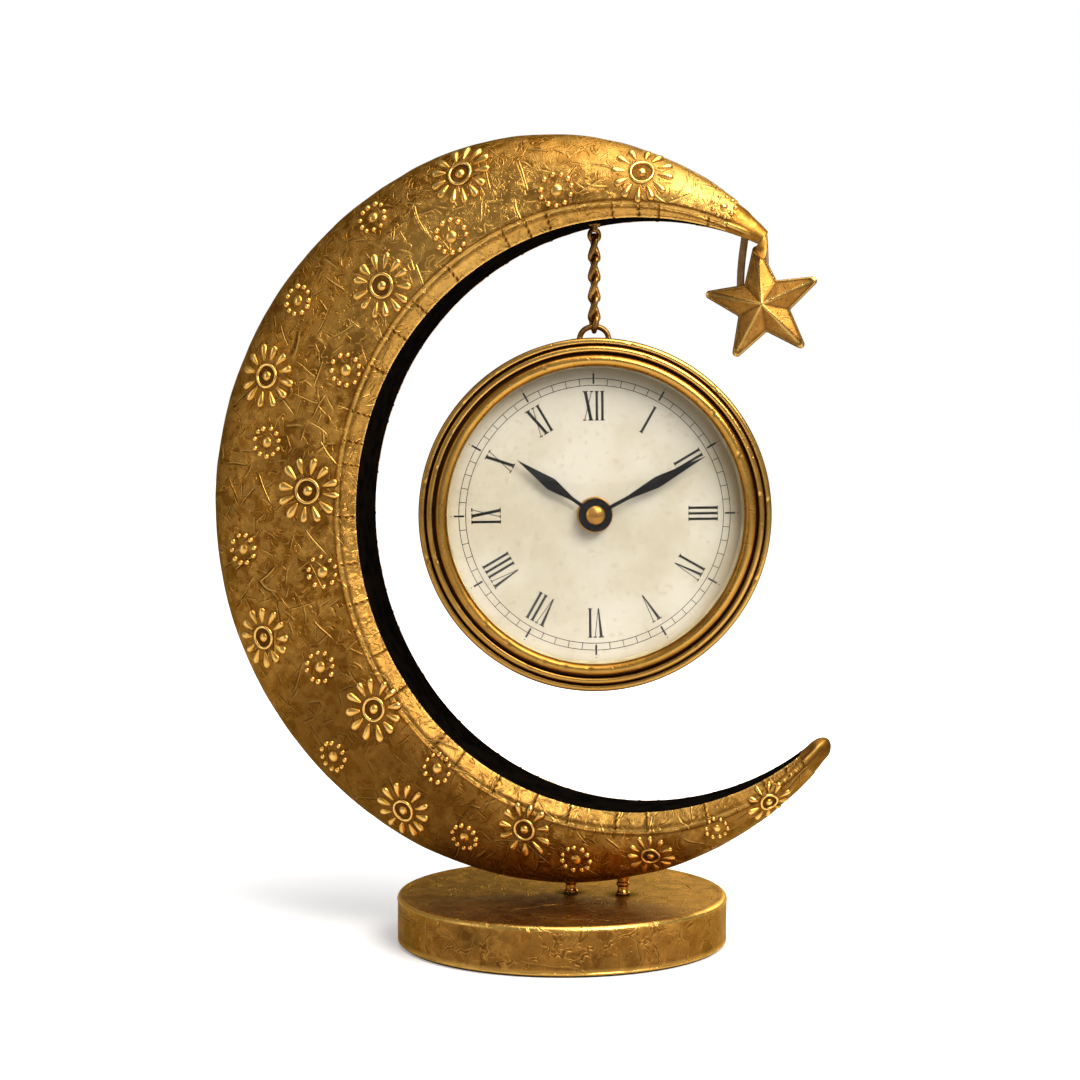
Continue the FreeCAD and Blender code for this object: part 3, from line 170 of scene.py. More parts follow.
def refined(line, step, closed=False):
    # the line with points added, so that no gap is much over the step
    first = 0 if closed else 1
    out = [] if closed else [line[0]]
    for a, b in zip(line, np.roll(line, -1, 0) if closed else line[1:]):
        count = max(1, int(np.hypot(*(b - a)) / step))
        out += [a + (b - a) * k / count for k in range(first, first + count)]
    return np.array(out)


def packed(*values):
    # values side by side on a new last axis
    return np.stack(np.broadcast_arrays(*values), -1)


def unit(value):
    return np.clip(value, 0, 1)


def highs(*values):
    # the highest of several arrays, point by point
    return functools.reduce(np.maximum, values)


def bell(value, width, power=2):
    # 1 where the value is 0, and near 0 beyond the width
    return np.exp(-(value / width) ** power)


def circle(steps, closed=False):
    return np.linspace(0, 2 * np.pi, steps, endpoint=closed)


def cosSin(degrees):
    return np.cos(np.radians(degrees)), np.sin(np.radians(degrees))


def lathePart(profile, place, steps=192, ripple=None):
    # profile runs from axis to axis, or closes on itself, as (radius, height)
    profile = np.asarray(profile, float)
    turn = circle(steps)
    startPole = profile[0, 0] < 1e-6
    endPole = profile[-1, 0] < 1e-6
    body = profile[1 if startPole else 0:-1 if endPole else None]
    radius = body[:, :1] * np.ones_like(turn)
    height = body[:, 1:] * np.ones_like(turn)
    if ripple is not None:
        radius, height = ripple(radius, height, turn)
    points = place(radius * np.cos(turn), radius * np.sin(turn), height)
    start = place(0.0, 0.0, profile[0, 1]) if startPole else None
    end = place(0.0, 0.0, profile[-1, 1]) if endPole else None
    return outward(gridPart(points, closedRows=not startPole, closedColumns=True, start=start, end=end))


def upright(x, y):
    # a place function for a lathe whose axis stands at (x, y)
    return lambda across, along, up: packed(x + across, y + along, up)


def tubePart(path, radius, normal, closed=False, sides=16, flat=1.0):
    # A wire along the path. normal is across the path's plane, one vector or one for each point.
    path = np.asarray(path, float)
    if closed:
        tangent = np.roll(path, -1, 0) - np.roll(path, 1, 0)
    else:
        tangent = np.gradient(path, axis=0)
    tangent /= np.linalg.norm(tangent, axis=1)[:, None]
    side = np.cross(tangent, np.broadcast_to(normal, path.shape))
    side /= np.linalg.norm(side, axis=1)[:, None]
    up = np.cross(side, tangent)
    turn = circle(sides)
    wide = np.broadcast_to(np.asarray(radius, float).reshape(-1, 1), (len(path), 1))
    points = (path[:, None] + side[:, None] * (wide * np.cos(turn))[..., None]
              + up[:, None] * (wide * flat * np.sin(turn))[..., None])
    if closed:
        return outward(gridPart(points, closedRows=True, closedColumns=True))
    return outward(gridPart(points, closedColumns=True, start=path[0], end=path[-1]))


def slabPart(corners, low, high, place):
    # corners (n, 4, 2) become n thin blocks from low to high
    n = len(corners)
    x, y = (np.repeat(corners[:, None, :, k], 2, 1) for k in (0, 1))
    points = place(x, y, np.array([low, high])[None, :, None]).reshape(-1, 3)
    sides = np.array([[3, 2, 1, 0], [4, 5, 6, 7], [0, 1, 5, 4], [1, 2, 6, 5], [2, 3, 7, 6], [3, 0, 4, 7]])
    return outward((points, [(sides[None] + 8 * np.arange(n)[:, None, None]).reshape(-1, 4)]))


def gridNormals(points, closedColumns=False):
    down = np.gradient(points, axis=0)
    if closedColumns:
        across = np.roll(points, -1, 1) - np.roll(points, 1, 1)
    else:
        across = np.gradient(points, axis=1)
    normal = np.cross(down, across)
    return normal / np.maximum(np.linalg.norm(normal, axis=-1), 1e-9)[..., None]


def waves(points, seed, longest, shortest, count=36):
    # Smooth unevenness between about -1 and 1: a sum of waves in seeded directions.
    rng = np.random.default_rng(seed)
    direction = rng.normal(size=(count, 3))
    direction /= np.linalg.norm(direction, axis=1)[:, None]
    length = np.exp(rng.uniform(np.log(shortest), np.log(longest), count))
    phase = rng.uniform(0, 2 * np.pi, count)
    spread = points.reshape(-1, 3) @ (direction * 2 * np.pi / length[:, None]).T + phase
    return (np.sin(spread).sum(1) / math.sqrt(count / 2)).reshape(points.shape[:-1]) * 0.5


# Material helpers

def isSocket(value):
    return isinstance(value, bpy.types.NodeSocket)


def feed(inputs, sockets):
    # links or plain values into named sockets
    for key, value in sockets.items():
        if isSocket(value):
            inputs[key].id_data.links.new(value, inputs[key])
        else:
            inputs[key].default_value = value


def addNode(tree, kind, sockets=None, **settings):
    item = tree.nodes.new(kind)
    for key, value in settings.items():
        setattr(item, key, value)
    feed(item.inputs, sockets or {})
    return item


def joinNode(kind, sockets, **settings):
    # a node in the tree of the first socket that feeds it
    tree = next(value.id_data for value in sockets.values() if isSocket(value))
    return addNode(tree, kind, sockets, **settings).outputs


def calc(operation, first, second=0.0, clamp=False):
    return joinNode("ShaderNodeMath", {0: first, 1: second}, operation=operation, use_clamp=clamp)[0]


def times(first, second, clamp=False):
    return calc("MULTIPLY", first, second, clamp)


def plus(first, second, clamp=False):
    return calc("ADD", first, second, clamp)


def minus(first, second, clamp=False):
    return calc("SUBTRACT", first, second, clamp)


def highest(first, second):
    return calc("MAXIMUM", first, second)


def away(value, centre):
    # how far the value is from the centre
    return calc("ABSOLUTE", minus(value, centre))


def vectorCalc(operation, first, **more):
    # more holds "second" or "scale"
    names = {"second": 1, "scale": "Scale"}
    sockets = {0: first, **{names[key]: value for key, value in more.items()}}
    outputs = joinNode("ShaderNodeVectorMath", sockets, operation=operation)
    return outputs["Value" if operation in ("DOT_PRODUCT", "LENGTH") else 0]


def noise(vector, scale, detail, roughness=0.5, distortion=0.0):
    return joinNode("ShaderNodeTexNoise", {"Vector": vector, "Scale": scale, "Detail": detail,
                                           "Roughness": roughness, "Distortion": distortion})


def cellular(vector, scale, **settings):
    return joinNode("ShaderNodeTexVoronoi", {"Vector": vector, "Scale": scale}, **settings)


def objectSpot(tree):
    return addNode(tree, "ShaderNodeTexCoord").outputs["Object"]


def vertexValue(tree, name):
    return addNode(tree, "ShaderNodeAttribute", attribute_name=name).outputs["Fac"]


def bumped(height, strength, distance):
    return joinNode("ShaderNodeBump", {"Height": height, "Strength": strength, "Distance": distance})[0]


def span(value, low, high, first=0.0, last=1.0):
    sockets = {"Value": value, "From Min": low, "From Max": high, "To Min": first, "To Max": last}
    return joinNode("ShaderNodeMapRange", sockets, interpolation_type="SMOOTHSTEP")["Result"]


def blendColor(share, first, second):
    return joinNode("ShaderNodeMix", {"Factor": share, 6: first, 7: second}, data_type="RGBA")[2]


def lightPath(tree, ray):
    return addNode(tree, "ShaderNodeLightPath").outputs[ray]


def mixShaders(share, first, second):
    return joinNode("ShaderNodeMixShader", {0: share, 1: first, 2: second})[0]


def newGroup(name, inputs, outputs):
    # Inputs by their defaults: None for a vector, a number or a colour. Every output is a number but "Color".
    tree = bpy.data.node_groups.new(name, "ShaderNodeTree")
    for label, default in inputs.items():
        kind = "Vector" if default is None else "Color" if isinstance(default, tuple) else "Float"
        socket = tree.interface.new_socket(label, in_out="INPUT", socket_type="NodeSocket" + kind)
        if default is not None:
            socket.default_value = default
    for label in outputs:
        kind = "Color" if label == "Color" else "Float"
        tree.interface.new_socket(label, in_out="OUTPUT", socket_type="NodeSocket" + kind)
    return tree, tree.nodes.new("NodeGroupInput").outputs, tree.nodes.new("NodeGroupOutput").inputs


def useGroup(group, sockets):
    return joinNode("ShaderNodeGroup", sockets, node_tree=group)


def newMaterial(name):
    material = bpy.data.materials.new(name)
    material.use_nodes = True
    tree = material.node_tree
    tree.nodes.clear()
    leave = tree.nodes.new("ShaderNodeOutputMaterial")
    shader = tree.nodes.new("ShaderNodeBsdfPrincipled")
    tree.links.new(shader.outputs[0], leave.inputs["Surface"])
    return material, tree, shader, leave.inputs["Surface"]


def colour(r, g, b):
    # sRGB 0 to 255 to linear
    values = np.array([r, g, b]) / 255
    return (*np.where(values <= 0.04045, values / 12.92, ((values + 0.055) / 1.055) ** 2.4), 1.0)


def makeCreaseGroup():
    # Short raised creases. Each cell of a Voronoi pattern holds one line: with p the point and c the
    # cell's centre, the line is where dot(p - c, random direction) is near 0.
    inputs = {"Vector": None, "Cell": 0.012, "Width": 0.0005, "Bend": 0.003}
    tree, given, result = newGroup("creases", inputs, ["Height", "Edge"])
    vector, cell, width, bend = (given[name] for name in inputs)
    half = (0.5, 0.5, 0.5)
    wobble = vectorCalc("SUBTRACT", noise(vector, 55.0, 1.0)["Color"], second=half)
    spot = vectorCalc("ADD", vector, second=vectorCalc("SCALE", wobble, scale=bend))
    cells = cellular(spot, calc("DIVIDE", 1.0, cell))
    local = vectorCalc("SUBTRACT", spot, second=cells["Position"])
    across = vectorCalc("SUBTRACT", cells["Color"], second=half)
    off = vectorCalc("DOT_PRODUCT", local, second=vectorCalc("NORMALIZE", across))
    line = span(calc("ABSOLUTE", off), 0.0, width, 1.0, 0.0)
    reach = vectorCalc("LENGTH", local)
    fade = span(reach, times(cell, 0.3), times(cell, 0.6), 1.0, 0.0)
    # Edge is a painted shadow along one side of each line
    shadow = span(minus(off, width), 0.0, times(width, 1.6), 1.0, 0.0)
    beside = calc("GREATER_THAN", off, times(width, 0.4))
    feed(result, {"Height": times(line, fade), "Edge": times(times(shadow, beside), fade)})
    return tree


def makePatinaGroup():
    # Tone of old brass: cloudy dark areas, blotches and fine mottling, plus small pits.
    inputs = {"Vector": None, "Dark": (0.05, 0.03, 0.01, 1), "Middle": (0.4, 0.25, 0.08, 1),
              "Bright": (0.8, 0.6, 0.25, 1), "Amount": 0.5}
    tree, given, result = newGroup("patina", inputs, ["Color", "Pits", "Mottle"])
    vector, darkest, middle, bright, amount = (given[name] for name in inputs)
    clouds = noise(vector, 26.0, 3.0, 0.6)["Fac"]
    blotches = noise(vector, 130.0, 5.0, 0.65, 0.6)["Fac"]
    fine = noise(vector, 900.0, 4.0, 0.7, 1.2)["Fac"]
    mottle = plus(times(blotches, 0.7), times(fine, 0.3))
    age = span(plus(times(clouds, 0.45), times(mottle, 0.55)), 0.3, 0.68)
    base = blendColor(age, darkest, middle)
    shine = span(mottle, 0.5, 0.68)
    toned = blendColor(times(shine, 0.3), base, bright)
    base = blendColor(amount, middle, toned)
    holes = cellular(vector, 420.0)["Distance"]
    pits = times(span(holes, 0.1, 0.2, 1.0, 0.0), span(clouds, 0.45, 0.6))
    feed(result, {"Color": blendColor(times(pits, 0.7), base, darkest), "Pits": pits, "Mottle": mottle})
    return tree


def makeStrokeGroup():
    # Curved brush strokes are bands of a noise n: with f = n * bands - floor(n * bands), a stroke is bright
    # where f is near 0.12 and dark where f is near 0.32. A second noise breaks them up. The seams are the
    # borders of large bent cells: a painted shadow in each crack ("Seam"), a painted highlight beside it ("Beside").
    outputs = ["Light", "Dark", "Hair", "Seam", "Beside"]
    tree, given, result = newGroup("strokes", {"Vector": None, "Scale": 1.0}, outputs)
    spot = vectorCalc("SCALE", given["Vector"], scale=given["Scale"])
    wide = noise(spot, 125.0, 1.0, distortion=1.1)
    breaks = noise(spot, 190.0, 1.0)["Fac"]
    narrow = noise(spot, 260.0, 1.0, distortion=1.8)["Fac"]
    band = calc("FRACT", times(wide["Fac"], 5.0))
    kept = span(breaks, 0.47, 0.56)
    light = span(away(band, 0.12), 0.0, 0.1, 1.0, 0.0)
    dark = span(away(band, 0.32), 0.03, 0.14, 1.0, 0.0)
    thread = calc("PINGPONG", times(narrow, 13.0), 0.5)
    hair = times(times(thread, 2.0), span(breaks, 0.56, 0.44))
    cellSpot = vectorCalc("ADD", spot, second=vectorCalc("SCALE", wide["Color"], scale=0.011))
    far = cellular(cellSpot, 48.0, feature="DISTANCE_TO_EDGE")["Distance"]
    some = span(breaks, 0.42, 0.5)
    close = span(away(far, 0.034), 0.004, 0.018, 1.0, 0.0)
    values = [times(light, kept), times(dark, kept), hair,
              times(span(far, 0.004, 0.018, 1.0, 0.0), some), times(close, some)]
    feed(result, dict(zip(outputs, values)))
    return tree


creaseGroup = makeCreaseGroup()
strokeGroup = makeStrokeGroup()
patinaGroup = makePatinaGroup()


def brass(name, dark, middle, bright, rough=0.4, amount=0.8, creases=1.0, cell=0.014, width=0.00038,
          grain=0.14, depth=0.0004, strokes=0.5, seams=0.0, scale=1.0):
    # Aged brass. The "shade" attribute is painted shade, to black from 1 to 2, and "shine" is a painted highlight on
    # edges and crests.
    dark, middle, bright, black = (colour(*tone) for tone in (dark, middle, bright, (14, 8, 3)))
    material, tree, shader, _ = newMaterial(name)
    spot = objectSpot(tree)
    tone = useGroup(patinaGroup, {"Vector": spot, "Dark": dark, "Middle": middle, "Bright": bright,
                                  "Amount": amount})
    stroke = useGroup(strokeGroup, {"Vector": spot, "Scale": scale})
    height = times(stroke["Light"], 0.5 * strokes)
    edge = times(stroke["Dark"], 0.5 * strokes)
    hair = times(stroke["Hair"], 0.3 * strokes)
    if seams:
        height = highest(height, times(stroke["Beside"], 0.75 * seams))
        edge = highest(edge, times(stroke["Seam"], seams))
    if creases:
        for cellShare, weight, bend in ((1.0, 1.0, 0.005), (0.5, 0.7, 0.006)):
            lines = useGroup(creaseGroup, {"Vector": spot, "Cell": cell * cellShare, "Width": width, "Bend": bend})
            height = highest(height, times(lines["Height"], weight * creases))
            edge = highest(edge, times(lines["Edge"], weight * creases))
    shade, shine = vertexValue(tree, "shade"), vertexValue(tree, "shine")
    body = blendColor(hair, tone["Color"], bright)
    # Painted highlight and shade: the raised lines lighter, a painted shadow beside the creases and in the seams,
    # then the shine attribute as painted highlight and the shade attribute as painted shade, black above 1.
    body = blendColor(times(edge, 0.85), body, dark)
    body = blendColor(times(height, 0.5), body, bright)
    body = blendColor(times(shine, 0.8), body, bright)
    body = blendColor(times(shade, 0.9, True), body, dark)
    body = blendColor(minus(shade, 1.0, True), body, black)
    uneven = plus(rough - 0.08, times(tone["Mottle"], 0.16))
    uneven = plus(uneven, times(shade, 0.2))
    uneven = minus(uneven, times(shine, 0.12), True)
    relief = plus(height, times(tone["Mottle"], grain))
    relief = plus(relief, times(hair, 0.4))
    relief = minus(relief, times(edge, 0.5))
    relief = minus(relief, times(tone["Pits"], 0.6))
    relief = times(relief, minus(1.0, times(shine, 0.62, True)))
    feed(shader.inputs, {"Base Color": body, "Metallic": 1.0, "Specular Tint": (0.95, 0.74, 0.45, 1),
                         "Roughness": uneven, "Normal": bumped(relief, 0.85, depth)})
    return material


def plain(name, base, other, rough, scale=200.0, metallic=0.0, depth=0.00008, sheen=0.0, coat=0.0, specular=0.5):
    # Paint, plastic, felt and steel: two close tones, uneven roughness and a fine grain.
    material, tree, shader, _ = newMaterial(name)
    spot = objectSpot(tree)
    cloud = noise(spot, scale, 4.0)["Fac"]
    grain = noise(spot, scale * 12, 3.0)["Fac"]
    feed(shader.inputs, {
        "Base Color": blendColor(span(cloud, 0.35, 0.65), colour(*base), colour(*other)),
        "Roughness": plus(rough - 0.06, times(grain, 0.12), True),
        "Normal": bumped(grain, 0.5, depth), "Metallic": metallic, "Sheen Weight": sheen,
        "Coat Weight": coat, "Specular IOR Level": specular})
    return material


hullBrass = brass("hull brass", (78, 46, 12), (168, 112, 38), (240, 190, 100), strokes=1.0)
baseBrass = brass("base brass", (66, 40, 14), (158, 106, 42), (238, 188, 96), cell=0.022,
                  creases=0.35, strokes=0.45, seams=0.55)
tipBrass = brass("tip brass", (78, 46, 12), (160, 108, 38), (232, 184, 96), creases=0.35,
                 strokes=0.35, depth=0.0002)
reliefBrass = brass("relief brass", (88, 52, 14), (220, 158, 64), (254, 214, 126),
                    rough=0.33, amount=0.35, creases=0.0, strokes=0.15, grain=0.06, depth=0.0002)
caseBrass = brass("case brass", (64, 38, 12), (182, 124, 46), (252, 204, 108), cell=0.02,
                  creases=0.15, rough=0.28, width=0.0003, amount=0.45, grain=0.03, strokes=0.08, seams=0.15,
                  depth=0.00016)
chainBrass = brass("chain brass", (70, 46, 20), (178, 126, 60), (244, 200, 122), cell=0.007,
                   creases=0.1, rough=0.34, depth=0.00014, grain=0.06, strokes=0.2)
starBrass = brass("star brass", (74, 46, 16), (142, 96, 38), (232, 186, 104), cell=0.014,
                  creases=0.2, rough=0.34, depth=0.00014, grain=0.03, amount=0.6, strokes=0.14, seams=0.3, scale=1.6)
strapBrass = brass("strap brass", (96, 70, 42), (176, 138, 92), (232, 200, 148), cell=0.007,
                   creases=0.15, rough=0.5, depth=0.0002, strokes=0.2)
polished = brass("polished brass", (110, 74, 28), (214, 156, 68), (252, 214, 128), cell=0.008,
                 creases=0.0, rough=0.24, amount=0.3, depth=0.0001, grain=0.04, strokes=0.1)
linerDark = plain("dark lining", (7, 6, 5), (16, 12, 8), 0.8, 160, 0.0, 0.0001, specular=0.0)
steel = plain("plated steel", (170, 170, 168), (148, 148, 146), 0.32, 300, 1.0)
iron = plain("cast iron", (52, 50, 48), (70, 66, 62), 0.6, 160, 1.0, 0.0003)
felt = plain("felt", (34, 40, 36), (48, 54, 48), 0.95, 700, 0.0, 0.0004, sheen=0.4)
handPaint = plain("hand paint", (8, 8, 8), (15, 14, 13), 0.42, 400, specular=0.08)
inkPaint = plain("dial ink", (14, 13, 12), (30, 28, 25), 0.7, 900, specular=0.05)
revealPaint = plain("reveal paint", (184, 168, 128), (162, 146, 106), 0.65, 120, specular=0.1)
blackPlastic = plain("black plastic", (22, 22, 23), (32, 32, 33), 0.48, 300, 0.0, 0.00012)
gearPlastic = plain("gear plastic", (222, 218, 206), (206, 202, 190), 0.42, 300)
cellPaint = plain("cell jacket", (40, 74, 120), (34, 62, 104), 0.35, 200, 0.0, 0.00004, coat=0.3)


def makeDialMaterial():
    # aged paper: stains and specks, and a brown painted shadow and painted reflection of the bezel on the rim by the
    # "shade" attribute
    material, tree, shader, _ = newMaterial("dial paper")
    spot = objectSpot(tree)
    stains = noise(spot, 34.0, 5.0, 0.55)["Fac"]
    specks = noise(spot, 420.0, 3.0)["Fac"]
    paper = blendColor(span(stains, 0.38, 0.66), colour(200, 192, 176), colour(187, 177, 154))
    paper = blendColor(span(specks, 0.56, 0.72, 0.0, 0.3), paper, colour(164, 149, 120))
    paper = blendColor(vertexValue(tree, "shade"), paper, colour(146, 124, 74))
    feed(shader.inputs, {"Base Color": paper, "Roughness": 0.62, "Specular IOR Level": 0.2,
                         "Normal": bumped(specks, 0.3, 0.00005)})
    return material


def makeGlassMaterial():
    # Clear for shadow rays, so that the dial behind it is lit.
    material, tree, shader, surface = newMaterial("crystal")
    smudge = noise(objectSpot(tree), 60.0, 4.0)["Fac"]
    feed(shader.inputs, {"Transmission Weight": 1.0, "IOR": 1.45,
                         "Roughness": span(smudge, 0.4, 0.75, 0.01, 0.05)})
    clear = addNode(tree, "ShaderNodeBsdfTransparent", {"Color": (0.97, 0.98, 0.97, 1)})
    mix = mixShaders(lightPath(tree, "Is Shadow Ray"), shader.outputs[0], clear.outputs[0])
    tree.links.new(mix, surface)
    return material


dialPaper = makeDialMaterial()
crystal = makeGlassMaterial()
print("materials made")


# The crescent's surface

hub = (25.0, 177.0)
outerArc = {"x": 7.4, "z": 178.0, "r": 155.8, "topR": 123.2, "topAngle": 117.0, "lowR": 137.4, "lowAngle": 242.4}
innerArc = {"x": 43.5, "z": 176.4, "r": 126.8, "topR": 114.4, "topAngle": 157.6, "lowR": 109.0, "lowAngle": 218.0}
hull = {"first": 62.5, "last": 313.2, "tipDeep": 6.4, "deep": 40.0, "tipBand": 1.6, "band": 6.6, "tipDrop": 0.8,
        "drop": 4.6, "lean": 3.0, "handle": 0.5523, "seam": 0.1, "wall": 1.2}


def reachAt(arc, angle):
    # distance from the hub to the arc at each angle; the arc has a smaller radius towards each end
    def offHub(radius, at):
        c, s = cosSin(at)
        return arc["x"] + radius * c - hub[0], arc["z"] + radius * s - hub[1]

    def bendAt(at):
        x, z = offHub(arc["r"], at)
        return math.degrees(math.atan2(z, x)) % 360

    def pick(upper, lower, between):
        return np.where(angle < top, upper, np.where(angle > low, lower, between))

    angle = np.asarray(angle, float)
    top, low = bendAt(arc["topAngle"]), bendAt(arc["lowAngle"])
    topX, topZ = offHub(arc["r"] - arc["topR"], arc["topAngle"])
    lowX, lowZ = offHub(arc["r"] - arc["lowR"], arc["lowAngle"])
    x = pick(topX, lowX, arc["x"] - hub[0])
    z = pick(topZ, lowZ, arc["z"] - hub[1])
    r = pick(arc["topR"], arc["lowR"], arc["r"])
    c, s = cosSin(angle)
    return x * c + z * s + np.sqrt(r * r - (x * s - z * c) ** 2)


def fade(distance, length):
    return np.sin(np.pi / 2 * unit(distance / length))


def sectionSizes(angle, side):
    # side is -1 for the front and 1 for the back; only the front's lip leans outwards
    full = np.minimum(fade(angle - hull["first"], 50), fade(hull["last"] - angle, 36))
    lean = (1 - fade(hull["last"] - angle, 30)) * full * hull["lean"] * (side < 0)
    depth = (hull["tipDeep"] + (hull["deep"] - hull["tipDeep"]) * full) / 2
    band = hull["tipBand"] + (hull["band"] - hull["tipBand"]) * full
    drop = hull["tipDrop"] + (hull["drop"] - hull["tipDrop"]) * full
    inner = reachAt(innerArc, angle)
    return {"inner": inner, "outer": reachAt(outerArc, angle), "depth": depth, "crest": inner + band + lean,
            "lipReach": inner + lean, "lip": depth - drop, "full": full}


def roundSide(size, share):
    # a quarter ellipse as a cubic, from the crest (0) to the outer seam (1)
    q = hull["handle"]
    t = 1 - share
    wide = size["outer"] - size["crest"]
    a, b, c, d = (1 - t) ** 3, 3 * (1 - t) ** 2 * t, 3 * (1 - t) * t * t, t ** 3
    reach = size["outer"] * (a + b) + (size["crest"] + wide * q) * c + size["crest"] * d
    start = hull["seam"]
    deep = start * a + (start + (size["depth"] - start) * q) * b + size["depth"] * (c + d)
    return reach, deep


def sideAt(size, distance):
    # the same curve by the distance from its crest; below 0 it goes on down the band
    steps = np.linspace(0, 1, 65)
    one = {k: v[..., None] for k, v in size.items()}
    reach, deep = roundSide(one, steps)
    length = np.concatenate([np.zeros_like(reach[..., :1]),
                             np.cumsum(np.hypot(np.diff(reach), np.diff(deep)), -1)], -1)
    below = (length[..., None, :] <= distance[..., None]).sum(-1) - 1
    below = np.clip(below, 0, 63)
    low = np.take_along_axis(length, below, -1)
    high = np.take_along_axis(length, below + 1, -1)
    share = (below + unit((distance - low) / (high - low))) / 64
    reach, deep = roundSide(one, share)
    down = np.clip(-distance, 0, None)
    slope = np.hypot(one["crest"] - one["lipReach"], one["depth"] - one["lip"])
    reach = reach - down * (one["crest"] - one["lipReach"]) / slope
    deep = deep - down * (one["depth"] - one["lip"]) / slope
    return reach, deep, length[..., -1]


def world(angle, reach, deep, side):
    c, s = cosSin(angle)
    return packed(hub[0] + reach * c, side * deep, hub[1] + reach * s)


def hullPoint(angle, distance, side):
    # angle (rows, 1) and distance (rows, columns) from the crest
    size = sectionSizes(angle[..., 0], side)
    reach, deep, _ = sideAt(size, distance)
    return world(angle, reach, deep, side)


# Centres of the relief flowers: angle round the hub, distance from the crest, petals or balls, size share.
sunflowers = [(115.2, 30.8, 13, 1.0), (86.0, 13.2, 12, 0.95), (136.2, 14.4, 13, 1.0), (159.2, 41.7, 12, 1.0),
              (176.2, 13.0, 12, 1.04), (199.5, 42.7, 12, 0.96), (219.0, 9.6, 12, 0.96), (234.2, 30.7, 12, 0.92),
              (254.0, 8.4, 11, 0.86), (276.0, 11.6, 11, 0.74), (298.2, 4.4, 10, 0.7)]
rosettes = [(130.2, 39.0, 11, 0.96), (121.0, 9.2, 12, 1.05), (100.5, 8.4, 11, 1.05), (147.0, 43.1, 11, 0.96),
            (152.5, 8.8, 11, 1.0), (169.0, 33.9, 11, 0.96), (185.8, 44.0, 10, 0.96), (191.5, 8.6, 10, 1.0),
            (207.5, 21.8, 11, 1.0), (220.5, 38.6, 11, 0.96), (235.0, 5.4, 11, 0.9), (244.8, 23.9, 11, 0.86),
            (263.5, 15.4, 11, 0.92), (288.2, 4.8, 10, 0.7), (71.2, 6.4, 9, 0.72)]


def flowerPlace(angle, distance, side):
    size = sectionSizes(np.array([angle]), side)
    reach = sideAt(size, np.array([[distance]]))[0][0, 0]

    def place(u, v, height):
        # u along the crescent, v towards its outer edge, height off the surface
        shape = np.broadcast(u, v, height).shape
        u, v, height = (np.broadcast_to(k, shape).ravel() for k in (u, v, height))
        a = (angle + np.degrees(u / reach))[:, None]
        d = (distance + v)[:, None]
        spot = hullPoint(a, d, side)[:, 0]
        ahead = hullPoint(a + 0.05, d, side)[:, 0] - spot
        out = hullPoint(a, d + 0.1, side)[:, 0] - spot
        normal = np.cross(ahead, out) * side
        normal /= np.linalg.norm(normal, axis=1)[:, None]
        return (spot + normal * height[:, None]).reshape(*shape, 3)
    return place


relief = {"petalInner": 6.0, "petalOuter": 13.6, "petalHalf": 1.95, "petalHigh": 1.3, "ring": 4.65,
          "ringWire": 0.72, "boss": 2.35, "bossHigh": 1.3, "sunk": 0.6, "ballReach": 6.1, "ball": 1.42,
          "rosetteBoss": 2.75, "rosetteHigh": 1.25}


def flowerTones(high, foot):
    # painted shade at the foot and a painted highlight on the crest, by the share of the full height
    return unit(1 - high / foot) * 1.3, unit(high) ** 3 * 0.8


def patch(place, u, v, height, top=None):
    # one raised patch with its shade and shine from its own height
    part = gridPart(place(u, v, height), closedColumns=top is not None, end=top)
    high = np.asarray(height / height.max()).ravel()
    if top is not None:
        high = np.append(high, 1.0)
    return (*part, *flowerTones(high, 0.3))


def petals(place, count, scale, seed):
    rng = np.random.default_rng(seed)
    along = np.linspace(0, 1, 19)[:, None]
    across = np.sin(np.linspace(-1, 1, 13) * np.pi / 2)[None, :]
    # a narrow foot widens to a round outer end
    half = np.where(along > 0.74, np.sqrt(unit(1 - ((along - 0.74) / 0.26) ** 2)),
                    0.3 + 0.7 * np.sin(np.pi / 2 * unit(along / 0.74)) ** 1.3)
    half = np.maximum(half * np.sqrt(np.clip(along / 0.08, 0.02, 1)), 0.03)
    domed = np.sqrt(unit(1 - across ** 2)) * unit(half) ** 0.5
    parts = []
    for k in range(count):
        turn = 2 * np.pi * (k + rng.uniform(-0.09, 0.09)) / count + seed
        c, s = math.cos(turn), math.sin(turn)
        inner = relief["petalInner"] * scale * rng.uniform(0.98, 1.05)
        outer = relief["petalOuter"] * scale * rng.uniform(0.93, 1.02)
        wide = relief["petalHalf"] * scale * rng.uniform(0.88, 1.08)
        r = inner + (outer - inner) * along
        w = wide * half * across
        high = relief["petalHigh"] * (0.5 + 0.5 * scale)
        h = (high + relief["sunk"]) * domed - relief["sunk"]
        parts.append(patch(place, r * c - w * s, r * s + w * c, h))
    return parts


def dome(place, x, y, radius, high, rings=8, steps=20):
    # a dome that starts a little under the surface
    lift = np.linspace(0, 1, rings)[:, None] * np.pi / 2
    turn = circle(steps)[None, :]
    r = radius * np.cos(lift)[:-1]
    h = (high + relief["sunk"]) * np.sin(lift)[:-1] - relief["sunk"] + 0 * turn
    top = place(np.array([x]), np.array([y]), np.array([high]))[0]
    return patch(place, x + r * np.cos(turn), y + r * np.sin(turn), h, top)


def ring(place, radius, wire, steps=56, sides=14):
    turn = circle(steps)[:, None]
    bend = circle(sides)[None, :]
    r = radius + wire * np.cos(bend)
    h = wire * 1.15 * np.sin(bend) + 0.2 + 0 * turn
    part = gridPart(place(r * np.cos(turn), r * np.sin(turn), h), closedRows=True, closedColumns=True)
    return (*part, *flowerTones((h / h.max()).ravel(), 0.35))


